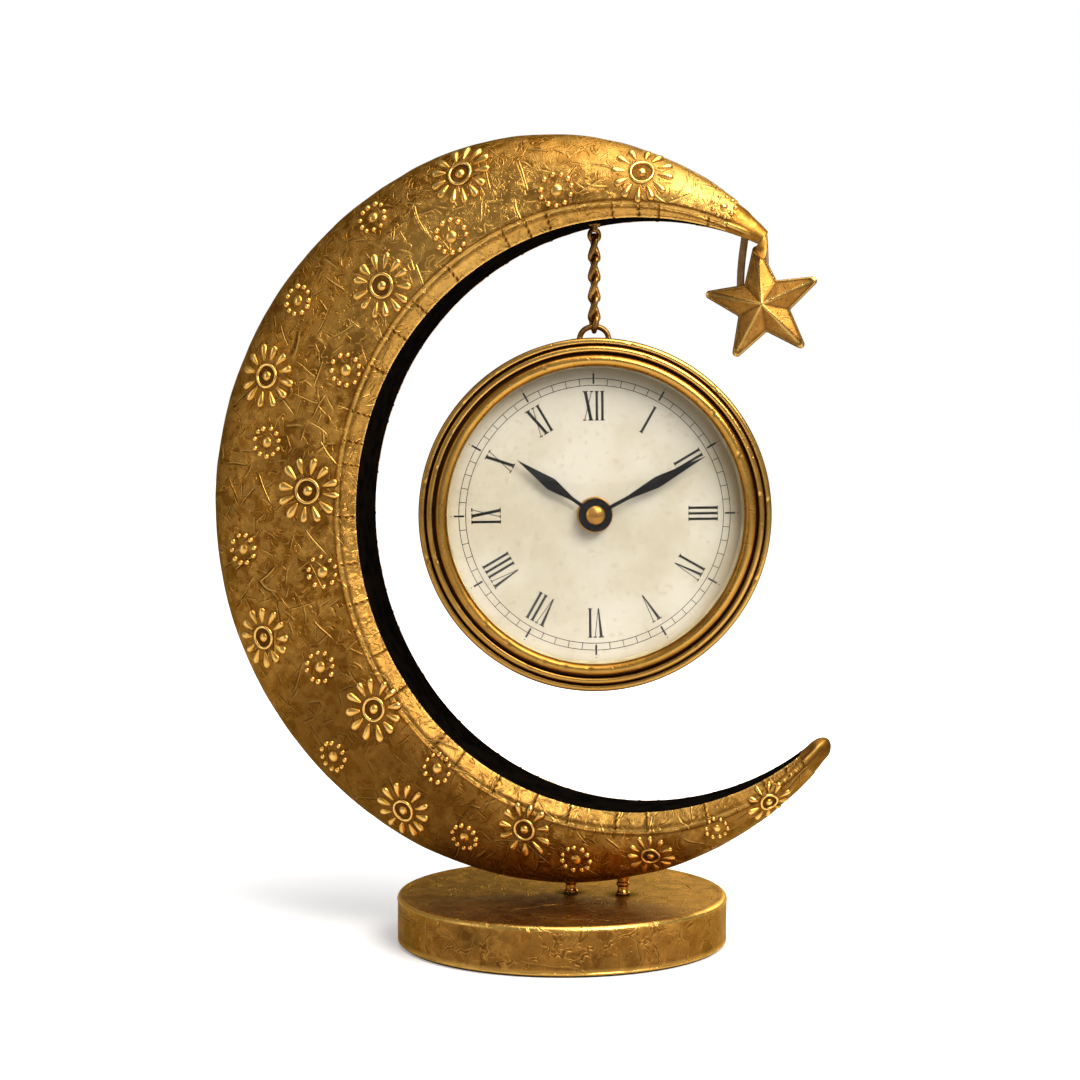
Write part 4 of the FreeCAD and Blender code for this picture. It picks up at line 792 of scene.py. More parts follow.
def buildRelief(side, label):
    # a boss in a ring of petals, and a boss in a ring of balls
    parts = []
    for k, (angle, distance, count, scale) in enumerate(sunflowers):
        place = flowerPlace(angle, distance, side)
        flower = petals(place, count, scale, k * 7 + 3)
        flower.append(ring(place, relief["ring"] * scale, relief["ringWire"] * scale))
        flower.append(dome(place, 0, 0, relief["boss"] * scale, relief["bossHigh"] * scale))
        parts.append((place, flower))
    for k, (angle, distance, count, scale) in enumerate(rosettes):
        place = flowerPlace(angle, distance, side)
        rng = np.random.default_rng(k + 90)
        flower = [dome(place, 0, 0, relief["rosetteBoss"] * scale, relief["rosetteHigh"] * scale)]
        for ball in range(count):
            turn = 2 * np.pi * (ball + rng.uniform(-0.12, 0.12)) / count + k
            far = relief["ballReach"] * scale * rng.uniform(0.96, 1.04)
            radius = relief["ball"] * (0.4 + 0.6 * scale) * rng.uniform(0.88, 1.08)
            flower.append(dome(place, far * math.cos(turn), far * math.sin(turn), radius, radius, 7, 14))
        parts.append((place, flower))
    turned = []
    for place, flower in parts:
        base, high = place(np.zeros(2), np.zeros(2), np.array([0.0, 1.0]))
        for points, faces, shade, shine in flower:
            group = faces[0]
            normal = np.cross(points[group[:, 2]] - points[group[:, 0]], points[group[:, 3]] - points[group[:, 1]])
            lift = np.einsum("ij,ij->i", normal, points[group].mean(1) - points.mean(0))
            sign = lift.sum() if len(group) == len(points) else (normal.sum(0) @ (high - base))
            turned.append((points, faces if sign > 0 else [g[:, ::-1] for g in faces], shade, shine))
    buildMesh(label, turned, reliefBrass, "stand")


rng = np.random.default_rng(11)
cracks = {side: np.sort(np.cumsum(rng.uniform(3.5, 13.0, 40)) + 60) for side in (-1, 1)}


# distances of the bead's points from the crest
beadSteps = np.array([1.5, 1.25, 1.0, 0.7, 0.35, 0.0, -0.35, -0.7, -1.0, -1.25])


def skinSection(angle, side, sideSteps=56, bandSteps=9):
    # Section points as (reach, deep) with the distance from the crest, seam first and lip last.
    size = sectionSizes(angle, side)
    total = sideAt(size, np.zeros((len(angle), 1)))[2][:, None]
    slope = np.hypot(size["crest"] - size["lipReach"], size["depth"] - size["lip"])[:, None]
    beadShare = np.minimum(1, slope / 3.2)
    far = np.linspace(1, 0, sideSteps, endpoint=False)
    roundPart = 1.5 * beadShare + (total - 1.5 * beadShare) * far
    low = -1.25 * beadShare - (slope - 1.25 * beadShare) * np.linspace(0, 1, bandSteps + 1)[1:]
    distance = np.concatenate([roundPart, beadSteps * beadShare, low], 1)
    reach, deep, _ = sideAt(size, distance)
    return size, distance, reach, deep, beadShare, slope


def beadHeight(distance, beadShare):
    return 0.85 * beadShare * np.sqrt(unit(1 - (distance / (1.3 * beadShare)) ** 2))


def skinRelief(points, angle, distance, side, beadShare, slope):
    # bead: half a round on the crest; cracks: narrow cuts across the bead and band; hammering all over
    bead = beadHeight(distance, beadShare)
    near = np.abs(angle[:, None] - cracks[side][None, :])
    gap = near.min(1)[:, None] * 2.1 + 0.25 * np.sin(distance * 2.3 + angle[:, None] * 5)
    cut = bell(gap, 0.34) * unit((1.2 - distance) / 0.8)
    edge = unit((distance - 1.5) / 6)
    hammer = waves(points, 5 + side, 26, 7) * 0.09 * edge + waves(points, 9 + side, 60, 20, 20) * 0.16 * edge
    rolled = 0.25 * bell(distance + slope - 0.5, 0.5)
    nicks = -0.18 * bell(waves(points, 31, 9, 4) - 0.75, 0.2) * unit(2.0 - distance)
    return bead + hammer - 0.28 * edge + rolled + nicks - 0.42 * cut, cut


def flowerShade(points, side):
    # painted shade round each flower and inside its rings
    shade = np.zeros(points.shape[:-1])
    for group, radius, floor, tone in ((sunflowers, 13.2, 4.6, 0.3), (rosettes, 6.8, 0.0, 0.22)):
        for angle, distance, _, scale in group:
            centre = flowerPlace(angle, distance, side)(np.zeros(1), np.zeros(1), np.zeros(1))[0]
            gap = np.linalg.norm(points - centre, axis=-1) / scale
            halo = unit(1 - (gap - radius) / 1.8) * tone
            rim = bell(gap - 5.7, 0.7) * 0.7 * (floor > 0)
            shade = highs(shade, halo, rim, (gap < floor) * 0.95)
    return shade


def buildSkin(name, side, rows, swap):
    angle = np.linspace(tipJoint["up"], tipJoint["low"], rows)
    size, distance, reach, deep, beadShare, slope = skinSection(angle, side)
    outside = world(angle[:, None], reach, deep, side)
    normal = gridNormals(outside) * side
    lift, cut = skinRelief(outside, angle, distance, side, beadShare, slope)
    outside = outside + normal * lift[..., None]
    # the inner wall: the lip rolled in, then the round side again, inside by the wall
    turned = packed(size["lipReach"] + 0.5, size["lip"] - 0.5)[:, None]
    behind = packed(size["lipReach"] + 1.6, size["lip"] - 0.2)[:, None]
    one = {k: v[:, None] for k, v in size.items()}
    inR, inD = roundSide(one, np.linspace(0.0, 1, 12))
    inR = inR - hull["wall"] * (inR - one["crest"]) / (one["outer"] - one["crest"])
    inD = np.maximum(inD - 1.4 * inD / one["depth"], hull["seam"])
    inside = np.concatenate([turned, behind, packed(inR, inD)], 1)
    inside = world(angle[:, None], inside[..., 0], inside[..., 1], side)
    points = np.concatenate([outside, inside], 1)
    part = outward(gridPart(points, closedColumns=True, start="face", end="face"))
    # painted shade: round the flowers, in the cuts and beside the bead, towards the seam, and low on both sides
    groove = bell(distance - 1.7, 0.5) + bell(distance + 1.6, 0.45) * 0.8
    rim = unit((distance - (distance[:, :1] - 26)) / 26) ** 2 * 0.4
    low = unit((angle - 196) / 18) * unit((256 - angle) / 12) * 0.72
    low = np.maximum(low, unit((angle - 274) / 16) * 0.66)
    low = low[:, None] * np.clip((distance + 2) / 12, 0.6, 1)
    dark = highs(flowerShade(outside, side), cut * 1.25, groove, rim * unit(size["full"])[:, None])
    # painted highlight: the lip, the crest and the bevel, partly their wear, and the upper end and the upper left
    # side
    upperEndHighlight = unit((102 - angle) / 26)[:, None] * 0.6
    glow = 0.45 * bell(angle - 122, 24)[:, None] * unit((32 - distance) / 14)
    worn = highs(bell(distance + slope, 0.7), bell(distance, 0.7), unit((-0.9 - distance) / 0.6) * 0.3)
    bright = highs(worn, upperEndHighlight, glow) * (1 - cut) * (1 - groove)
    shade, shine = np.zeros(points.shape[:2]), np.zeros(points.shape[:2])
    columns = outside.shape[1]
    shade[:, :columns] = np.maximum(dark, low)
    shine[:, :columns] = bright
    buildMesh(name, [part], hullBrass, "stand", {"shade": shade, "shine": shine}, swap=swap)


tipJoint = {"up": 69.5, "low": 307.0}
buildSkin("hull_front", -1, 900, "crescent_front_shell")
buildSkin("hull_back", 1, 700, "crescent_back_shell")
buildRelief(-1, "relief_front")
buildRelief(1, "relief_back")
print("crescent skins made")


def tipFrame(angle):
    # a cast tip's whole section, front seam round to back seam: its middle, its outward direction and its
    # points off the middle, with the bead's height and the distance from the crest
    _, distance, reach, deep, beadShare, _ = skinSection(angle, -1, 28, 6)
    _, _, reachBack, deepBack, _, _ = skinSection(angle, 1, 28, 6)
    back = packed(reachBack, deepBack)[:, ::-1]
    section = np.concatenate([packed(reach, -deep), back], 1)
    bead = beadHeight(distance, beadShare)
    bead = np.concatenate([bead, bead[:, ::-1]], 1)
    distance = np.concatenate([distance, distance[:, ::-1]], 1)
    middle = (section[..., 0].max(1) + section[..., 0].min(1)) / 2
    c, s = cosSin(angle)
    out = packed(c, 0, s)
    centre = np.array([hub[0], 0, hub[1]]) + out * middle[:, None]
    offset = packed(section[..., 0] - middle[:, None], section[..., 1])
    return centre, out, offset, bead, distance


def buildTip(name, centre, out, offset, bead, distance, marked, endPoint, swap, ends, tone=0.0):
    # centre (rows, 3), out (rows, 3), offset (rows, columns, 2) as (outwards, along Y)
    points = centre[:, None] + out[:, None] * offset[..., :1] + np.array([0, 1, 0]) * offset[..., 1:]
    normal = gridNormals(points, True)
    middle = points.mean(1)[:, None]
    if np.einsum("ijk,ijk->", normal, points - middle) < 0:
        normal = -normal
    points = points + normal * (bead + waves(points, 17, 12, 4) * 0.14)[..., None]
    close = {"start": "face", "end": "face", ends: endPoint}
    part = outward(gridPart(points, closedColumns=True, **close))
    # painted highlight along the bead, painted shade beside it, and tone as painted shade all over
    shine = np.append((bell(distance, 0.8) * marked[:, None]).ravel(), 0.0)
    shade = np.append(np.maximum(bell(distance - 1.7, 0.5) * marked[:, None], tone).ravel(), tone)
    buildMesh(name, [part], tipBrass, "stand", {"shade": shade, "shine": shine}, swap=swap)


def upperTip():
    angle = np.linspace(hull["first"], tipJoint["up"], 34)
    centre, out, offset, bead, distance = tipFrame(angle)
    # beak: a tongue that turns down in front of the star and ends in a blunt point
    beak = {"x": 82.4, "y": -6.4, "z": 278.4, "half": 0.95, "aside": 1.5}
    share = np.linspace(0, 1, 56)[1:]
    first, firstOffset = centre[0], offset[0]
    half = (firstOffset[:, 0].max() - firstOffset[:, 0].min()) / 2
    deep = np.abs(firstOffset[:, 1]).max()
    beakCentre = packed(first[0] + (beak["x"] - first[0]) * share - beak["aside"] * np.sin(np.pi * share ** 0.6),
                        beak["y"] * share ** 0.8, first[2] + (beak["z"] - first[2]) * share)
    c, s = cosSin(hull["first"] * (1 - share) ** 1.6)
    beakOut = packed(c, 0, s)
    newHalf = (half * (1 + 0.25 * np.sin(np.pi * share)) - beak["half"]) * (1 - share ** 2) + beak["half"]
    newDeep = deep * (1 - share) ** 2.2 + beak["half"] * share
    rounded = np.sqrt(unit(1 - np.clip((share - 0.9) / 0.1, 0, 0.985) ** 2))
    beakOffset = packed(firstOffset[None, :, 0] * (newHalf / half * rounded)[:, None],
                        firstOffset[None, :, 1] * (newDeep / deep * rounded)[:, None])
    marked = unit((angle - hull["first"] - 2.5) / 4)
    bead = bead * marked[:, None]
    repeated = (np.repeat(rows[:1], len(share), 0) for rows in (bead, distance))
    joined = [np.concatenate([new[::-1], old]) for new, old in
              zip((beakCentre, beakOut, beakOffset, *repeated, 0 * share),
                  (centre, out, offset, bead, distance, marked))]
    buildTip("tip_upper", *joined, beakCentre[-1], "upper_tip", "start")


def lowerTip():
    # the last degrees close in a round end
    end, bend = hull["last"] - 0.3, 310.4
    angle = np.concatenate([np.linspace(tipJoint["low"], bend, 22), np.linspace(bend, end, 20)[1:]])
    centre, out, offset, bead, distance = tipFrame(angle)
    bead = bead * unit((311.5 - angle) / 4)[:, None]
    scale = np.sqrt(1 - np.clip((angle - bend) / (end - bend), 0, 0.995) ** 2)
    # the lower tip is in painted shade all over (tone 0.68)
    buildTip("tip_lower", centre, out, offset * scale[:, None, None], bead * scale[:, None], distance,
             scale, centre[-1], "lower_tip", "end", 0.68)


upperTip()
lowerTip()


liner = {"first": 69.6, "last": 306.9, "rows": 620, "front": 0.12, "back": 1.3, "inset": 0.35}


def buildLiner():
    # the dark lining between the two lips
    angle = np.linspace(liner["first"], liner["last"], liner["rows"])
    front, back = sectionSizes(angle, -1), sectionSizes(angle, 1)
    share = np.linspace(0, 1, 25)[None, :]
    reach = (front["lipReach"][:, None] * (1 - share) + back["lipReach"][:, None] * share)
    y = (back["lip"][:, None] - liner["inset"]) * share - (front["lip"][:, None] - liner["inset"]) * (1 - share)
    rows = angle[:, None]
    near = reach + liner["front"]
    rough = waves(world(rows, near, y, 1), 41, 14, 5) * 0.12 * np.sin(np.pi * share)
    inner = world(rows, near + rough, y, 1)
    outer = world(rows, reach + liner["back"], y, 1)[:, ::-1]
    points = np.concatenate([inner, outer], 1)
    part = outward(gridPart(points, closedColumns=True, start="face", end="face"))
    buildMesh("hull_lining", [part], linerDark, "stand", swap="crescent_liner")


buildLiner()
print("tips and lining made")


# Base

base = {"radius": 68.0, "top": 20.0, "bottom": 0.6, "rim": 2.0, "wall": 1.3, "posts": (3.8, 25.5)}


def buildBase():
    r, t, b, w = base["radius"], base["top"], base["bottom"], base["wall"]
    corners = [(0, t, 0), (20, t, 0), (40, t, 0), (56, t, 0), (r, t, base["rim"]), (r, 9, 0), (r, b, 1.6),
               (r - 2.6, b, 0.4), (r - w, b + 2, 0.6), (r - w, t - w, 2.6), (30, t - w, 0), (0, t - w, 0)]

    def dents(radius, height, turn):
        # the top and the side are hammered
        spot = packed(radius * np.cos(turn), radius * np.sin(turn), height)
        lift = waves(spot, 51, 30, 9) * 0.14 - 0.3
        onTop = (height > t - 0.05) & (radius < r - 3)
        onSide = (radius > r - 0.05) & (height < t - 3)
        return radius + lift * onSide, height + lift * onTop

    part = lathePart(refined(filleted(corners, 8), 1.3), upright(0, 0), 300, dents)
    x, y, z = part[0].T
    reach = np.hypot(x, y)
    # painted highlight along the top rim and the bottom edge; painted shade on the side, deeper near the bottom, and
    # a painted shadow round the posts on the top
    shine = 1.2 * bell(reach - (r - 0.6), 0.8) * (z > t - 1.8) + bell(z - 1.4, 0.9) * (reach > r - 2)
    shade = np.maximum(bell(z - 2.9, 0.8) * 0.5, 0.16) * (reach > r - 1) * (z < t - 2.2)
    for postX in base["posts"]:
        shade = np.maximum(shade, unit(1.6 - np.hypot(x - postX, y) / 5.5) * (z > t - 1))
    buildMesh("base_dish", [part], baseBrass, "stand", {"shade": shade, "shine": shine},
              swap="base_shell")


buildBase()

postProfile = [(0, 20, 0), (3.0, 20, 0.2), (3.0, 20.6, 0.3), (2.6, 21.1, 0.2), (2.2, 22.0, 0.5),
               (2.1, 23.2, 0.4), (2.75, 24.0, 0.35), (2.75, 24.7, 0.3), (2.2, 25.3, 0.3),
               (2.5, 27.3, 0.1), (0, 27.3, 0)]
postParts = [lathePart(filleted(postProfile, 5), upright(x, 0), 48) for x in base["posts"]]
buildMesh("base_posts", postParts, polished, "stand", swap="stud_collars")
print("base made")


# Clock

clock = {"turn": 13.5, "x": 13.2, "z": 176.2}
clockCos, clockSin = cosSin(clock["turn"])


def clockPlace(across, up, depth):
    # across and up on the dial, depth away from the viewer
    return packed(clock["x"] + across * clockCos - depth * clockSin, across * clockSin + depth * clockCos,
                  clock["z"] + up)


def lathePiece(name, corners, fillets, steps, material, swap, body="clock", closed=True):
    # a turned piece of the clock by its corners as (radius, depth, fillet)
    part = lathePart(filleted(corners, fillets, closed), clockPlace, steps)
    buildMesh(name, [part], material, body, swap=swap)


def ringArc(start, width, rise, low, steps=14):
    # a rounded ring from radius start; its crest stands rise in front of low (front is negative)
    turn = np.linspace(0, np.pi, steps)
    middle = start + width / 2
    return packed(middle - width / 2 * np.cos(turn), low - rise * np.sin(turn))


# rings as (start, width, crest, rise) and the depth of the grooves between them
bezel = {"rings": [(60.35, 4.2, -16.9, 1.5), (65.6, 2.6, -14.8, 1.0), (68.6, 2.85, -12.7, 1.1)],
         "grooves": (-13.0, -12.4), "inner": [(60.0, -13.4), (60.0, -15.4)],
         "outer": [(71.5, -11.2), (71.5, -8.0), (71.4, -5.2), (70.9, -4.9), (70.1, -4.9), (70.1, -9.8),
                   (60.6, -9.9), (60.6, -12.6)],
         "nicks": 26, "nickRadii": [62.1, 66.1, 69.9], "steps": 420}


def buildBezel():
    # three rounded rings that step back from the glass outwards, with a narrow groove between them
    rings, steps = bezel["rings"], bezel["steps"]
    profile = [bezel["inner"]]
    for k, (start, width, top, rise) in enumerate(rings):
        profile.append(ringArc(start, width, rise, top + rise))
        if k < 2:
            floor = bezel["grooves"][k]
            profile.append([(start + width + 0.15, floor), (rings[k + 1][0] - 0.1, floor)])
    profile = refined(np.concatenate([*profile, bezel["outer"]]), 1.0)
    rng = np.random.default_rng(23)
    nickAt = rng.uniform(0, 2 * np.pi, bezel["nicks"])
    nickR = rng.choice(bezel["nickRadii"], bezel["nicks"])

    def worn(radius, height, turn):
        spot = packed(radius * np.cos(turn), radius * np.sin(turn), height)
        cut = 0 * radius
        for at, r in zip(nickAt, nickR):
            off = np.angle(np.exp(1j * (turn - at))) * r + 0.25 * np.sin(radius * 3)
            cut = np.maximum(cut, bell(off, 0.55) * bell(radius - r, 1.6, 4))
        front = unit((-10 - height) / 2)
        return radius, height + (waves(spot, 61, 40, 14) * 0.08 + 0.4 * cut) * front

    part = lathePart(profile, clockPlace, steps, worn)
    across, depth = profile.T
    # painted shade: the two grooves, the outer side behind the last ring, the inner edge, the back and the lower
    # left
    grooves = np.maximum(bell(across - 65.05, 0.6, 4), bell(across - 68.4, 0.3, 4)) * 1.5 * (depth < -10)
    outer = unit((across - 70.9) / 0.5) * (depth < -6)
    edges = np.maximum((across < 60.3) * 0.7, bell(depth + 4.9, 1.2) * 0.6)
    turn = circle(steps)
    lower = 0.32 * unit(0.2 - 0.9 * np.sin(turn) - 0.5 * np.cos(turn))
    shade = np.maximum(highs(grooves, outer, edges)[:, None], lower)
    # painted highlight on the crests of the rings, less on the lower left
    crests = np.max([bell(across - start - width / 2, 0.8) for start, width, _, _ in rings], 0) * (depth < -10.5)
    shine = crests[:, None] * 0.8 * (1 - lower)
    buildMesh("bezel_rings", [part], caseBrass, "clock", {"shade": shade, "shine": shine},
              swap="bezel")


drum = {"radius": 70.0, "wall": 68.8, "lip": 66.6, "front": -9.85, "bend": 10.6, "back": 13.95, "lipFront": 12.8,
        "steps": 360}


def buildDrum():
    wall, lip, outer, back = drum["wall"], drum["lip"], drum["radius"], drum["back"]
    case = filleted([(wall, drum["front"], 0.2), (outer, drum["front"], 0.3), (outer, drum["bend"], 0.0),
                     (outer, back, 1.4), (lip, back, 0.3), (lip, drum["lipFront"], 0.2),
                     (wall, drum["lipFront"], 0.2)], 6, True)
    case = refined(case, 1.5)
    radius, depth = case.T
    # painted highlight along the rear edge, painted shade behind the bezel
    shine = np.repeat(bell(depth - 13.4, 0.6) * (radius > 68.5), drum["steps"])
    shade = np.repeat(bell(depth + 4.6, 1.1) * (radius > 69.5) * 0.8, drum["steps"])
    buildMesh("case_drum", [lathePart(case, clockPlace, drum["steps"])], caseBrass, "clock",
              {"shade": shade, "shine": shine}, swap="clock_case")


def printPlace(x, z, height):
    # the print is turned a little on the dial
    c, s = cosSin(0.67)
    return clockPlace(x * c - z * s, x * s + z * c, dialPrint["face"] - height)


def box(left, low, right, high):
    return (left, low), (right, low), (right, high), (left, high)


# Each letter's width and its strokes, in a height of 11.7.
topBars = [box(0.0, 11.25, 2.2, 11.7), box(2.9, 11.25, 4.3, 11.7)]
strokes = {
    "I": (1.9, [box(0.45, 0.6, 1.45, 11.1), ((0.0, 0.0), (1.9, 0.0), (1.45, 0.6), (0.45, 0.6)),
                ((0.45, 11.1), (1.45, 11.1), (1.9, 11.7), (0.0, 11.7))]),
    "V": (4.3, [((0.55, 11.2), (1.75, 11.2), (2.45, 0.0), (2.0, 0.0)),
                ((3.45, 11.2), (3.75, 11.2), (2.45, 0.0), (2.2, 0.0)), *topBars]),
    "X": (4.4, [((0.5, 11.3), (1.75, 11.3), (3.95, 0.4), (2.7, 0.4)),
                ((3.45, 11.3), (3.75, 11.3), (0.95, 0.4), (0.65, 0.4)), *topBars,
                box(0.1, 0.0, 1.5, 0.45), box(2.2, 0.0, 4.4, 0.45)]),
}
numerals = ["XII", "I", "II", "III", "IV", "V", "VI", "VII", "VIII", "IX", "X", "XI"]
dialPrint = {"face": -5.7, "middle": 43.8, "tall": 11.7, "track": (51.9, 54.6), "line": 0.26,
             "bar": (52.5, 56.6, 0.75), "dot": (57.4, 57.8, 0.4), "gap": 0.35}


def dialQuads():
    quads = []
    for hour, text in enumerate(numerals):
        width = sum(strokes[c][0] for c in text) + dialPrint["gap"] * (len(text) - 1)
        at = -width / 2
        c, s = cosSin(-30 * hour)
        for letter in text:
            shape = np.array(strokes[letter][1]) + [at, dialPrint["middle"] - dialPrint["tall"] / 2]
            quads.append(packed(shape[..., 0] * c - shape[..., 1] * s, shape[..., 0] * s + shape[..., 1] * c))
            at += strokes[letter][0] + dialPrint["gap"]

    def arcs(radius, line, count=240):
        a = circle(count + 1, True)
        low = packed(np.cos(a), np.sin(a)) * (radius - line / 2)
        high = packed(np.cos(a), np.sin(a)) * (radius + line / 2)
        return np.stack([low[:-1], low[1:], high[1:], high[:-1]], 1)

    def spokes(inner, outer, wide, count, skip=0):
        a = 2 * np.pi * np.arange(count) / count
        if skip:
            a = a[np.arange(count) % skip > 0]
        out = packed(np.cos(a), np.sin(a))
        side = packed(-np.sin(a), np.cos(a)) * wide / 2
        return np.stack([out * inner - side, out * outer - side, out * outer + side, out * inner + side], 1)

    for radius in dialPrint["track"]:
        quads.append(arcs(radius, dialPrint["line"]))
    quads.append(spokes(*dialPrint["track"], dialPrint["line"], 60, 5))
    quads.append(spokes(*dialPrint["bar"], 12))
    quads.append(spokes(*dialPrint["dot"], 12))
    return np.concatenate(quads)


def buildDial():
    # a disc with a hole for the arbor, its ring of points close together where the painted shadow falls on the rim
    face, back, steps = dialPrint["face"], -4.9, 240
    fine = [(radius, face, 0) for radius in (6.0, 30, 50.0, 51.5, 53.0, 54.5, 56.0, 57.5, 59.0, 60.5)]
    flat = filleted(fine + [(69.0, face, 0.2), (69.0, back, 0.2), (6.0, back, 0)], 3, True)
    turn = circle(steps)
    # the painted shadow is centred below and left of the middle, so it is deepest at the top right
    reach = np.hypot(np.outer(flat[:, 0], np.cos(turn)) + 2.4, np.outer(flat[:, 0], np.sin(turn)) + 3.0)
    buildMesh("dial_face", [lathePart(flat, clockPlace, steps)], dialPaper, "clock",
              {"shade": unit((reach - 53.5) / 8.0) ** 1.4 * 0.9}, swap="dial")
    ink = slabPart(dialQuads(), -0.01, 0.03, printPlace)
    buildMesh("dial_ink", [ink], inkPaint, "clock", smooth=False)
    lathePiece("dial_reveal", [(59.9, -13.2, 0.2), (61.4, -13.2, 0.2), (61.4, -5.75, 0.2), (59.0, -5.75, 0.2),
                               (59.0, -6.8, 0.3), (59.6, -7.6, 0.3)], 3, 240, revealPaint,
               "dial_ring")
    lathePiece("dial_glass", [(0, -14.7, 0), (30, -14.7, 0), (61.6, -14.6, 0.3), (61.6, -13.25, 0.2),
                              (30, -13.25, 0), (0, -13.25, 0)], 4, 200, crystal, "glass", closed=False)


def buildHandsCentre():
    lathePiece("washer_ring", [(5.0, -5.75, 0), (7.3, -5.75, 0.1), (7.3, -6.3, 0.25), (5.0, -6.3, 0.1)], 4, 96,
               polished, "dial_washer")
    lathePiece("hand_dome", [(0, -12.15, 0), (1.2, -12.1, 0.4), (2.6, -11.75, 1.5), (3.75, -10.9, 0.8),
                             (4.05, -10.2, 0.15), (0, -10.2, 0)], 6, 72, polished, "hand_cap",
               "minute", False)


buildBezel()
buildDrum()
buildDial()
buildHandsCentre()
print("clock made")


# Chain, bail and eye

chain = {"wire": 0.96, "swell": 0.25, "eye": 2.35, "eyeLow": 287.12, "reach": 10.3, "half": 2.7, "lowHalf": 2.35,
         "pitch": 8.1, "top": 289.32, "low": 250.62}


def linkPath(half, tall, steps=24, count=96):
    # a stadium of evenly spaced points: half circles at the ends and straight sides
    bow = np.linspace(0, np.pi, steps)
    straight = tall / 2 - half
    x = np.concatenate([half * np.cos(bow), -half * np.cos(bow)])
    z = np.concatenate([straight + half * np.sin(bow), -straight - half * np.sin(bow)])
    ring = packed(x, z)
    length = np.linalg.norm(np.roll(ring, -1, 0) - ring, axis=1)
    at = np.concatenate([[0], np.cumsum(length)])
    even = np.linspace(0, at[-1], count, endpoint=False)
    closed = np.vstack([ring, ring[:1]])
    return packed(np.interp(even, at, closed[:, 0]), np.interp(even, at, closed[:, 1]))


def linkPart(top, reach, half, turn, twist):
    # a link twisted round its long axis, with a waist of thicker wire
    ring = linkPath(half, reach)
    waist = unit(1 - (ring[:, 1] / (reach * 0.28)) ** 2)
    ring[:, 0] *= 1 - 0.1 * waist
    c, s = cosSin(turn + twist * ring[:, 1] / (reach / 2))
    path = packed(clock["x"] + ring[:, 0] * c, ring[:, 0] * s, top - reach / 2 + ring[:, 1])
    return tubePart(path, chain["wire"] + 0.1 + chain["swell"] * waist, packed(-s, c, 0), closed=True, sides=18)


links = [(chain["top"] - chain["pitch"] * k, chain["reach"], chain["half"], 90, 45) for k in range(4)]
lowTop = chain["top"] - chain["pitch"] * 4
links.append((lowTop, lowTop - chain["low"], chain["lowHalf"], 119.25, 15.75))
for k, link in enumerate(links, 1):
    swap = f"chain_link_{k}" if k < 5 else "end_link"
    buildMesh(f"twist_link_{k}", [linkPart(*link)], chainBrass, f"link_{k}", swap=swap)


def buildEye():
    # a ring turned by 45 degrees on a shank with a collar
    turn = circle(64)
    c, s = cosSin(45)
    radius = chain["eye"]
    path = packed(clock["x"] + radius * np.cos(turn) * c, radius * np.cos(turn) * s,
                  chain["eyeLow"] + radius + radius * np.sin(turn))
    ring = tubePart(path, chain["wire"], np.array([-s, c, 0.0]), closed=True)
    shank = filleted([(0, 290.6, 0), (1.1, 290.7, 0.2), (1.5, 291.4, 0.3), (1.5, 293.2, 0.2), (2.3, 293.6, 0.2),
                      (2.3, 294.3, 0.1), (1.4, 294.5, 0), (1.4, 297.5, 0.2), (0, 297.5, 0)], 4)
    post = lathePart(shank, upright(clock["x"], 0), 32)
    buildMesh("chain_eyelet", [ring, post], chainBrass, "stand", swap="chain_eye")


bail = {"half": 5.9, "top": 76.3, "sill": 70.4, "feet": [10.2, 9.2, 8.2, 7.2], "wire": 1.15, "flare": 0.5}


def buildBail():
    # an arch of wire over the case, with flared feet
    arch = np.linspace(0, np.pi, 49)
    foot = np.array(bail["feet"])
    low = np.sqrt(drum["radius"] ** 2 - foot ** 2) + 0.25
    x = np.concatenate([foot, bail["half"] * np.cos(arch), -foot[::-1]])
    z = np.concatenate([low, bail["sill"] + (bail["top"] - bail["sill"]) * np.sin(arch) ** 0.8, low[::-1]])
    wide = bail["wire"] + bail["flare"] * bell(z - drum["radius"], 1.2)
    wide[[0, -1]] *= 0.5
    wire = tubePart(clockPlace(x, z, 0.0), wide, np.array([-clockSin, clockCos, 0.0]))
    buildMesh("bail_wire", [wire], chainBrass, "clock", swap="clock_bail")


buildEye()
buildBail()
print("chain made")


# Star

star = {"x": 81.8, "y": 2.0, "z": 260.9, "reach": 23.8, "notch": 11.0, "deep": 6.5, "rim": 1.1, "turn": 97.2}


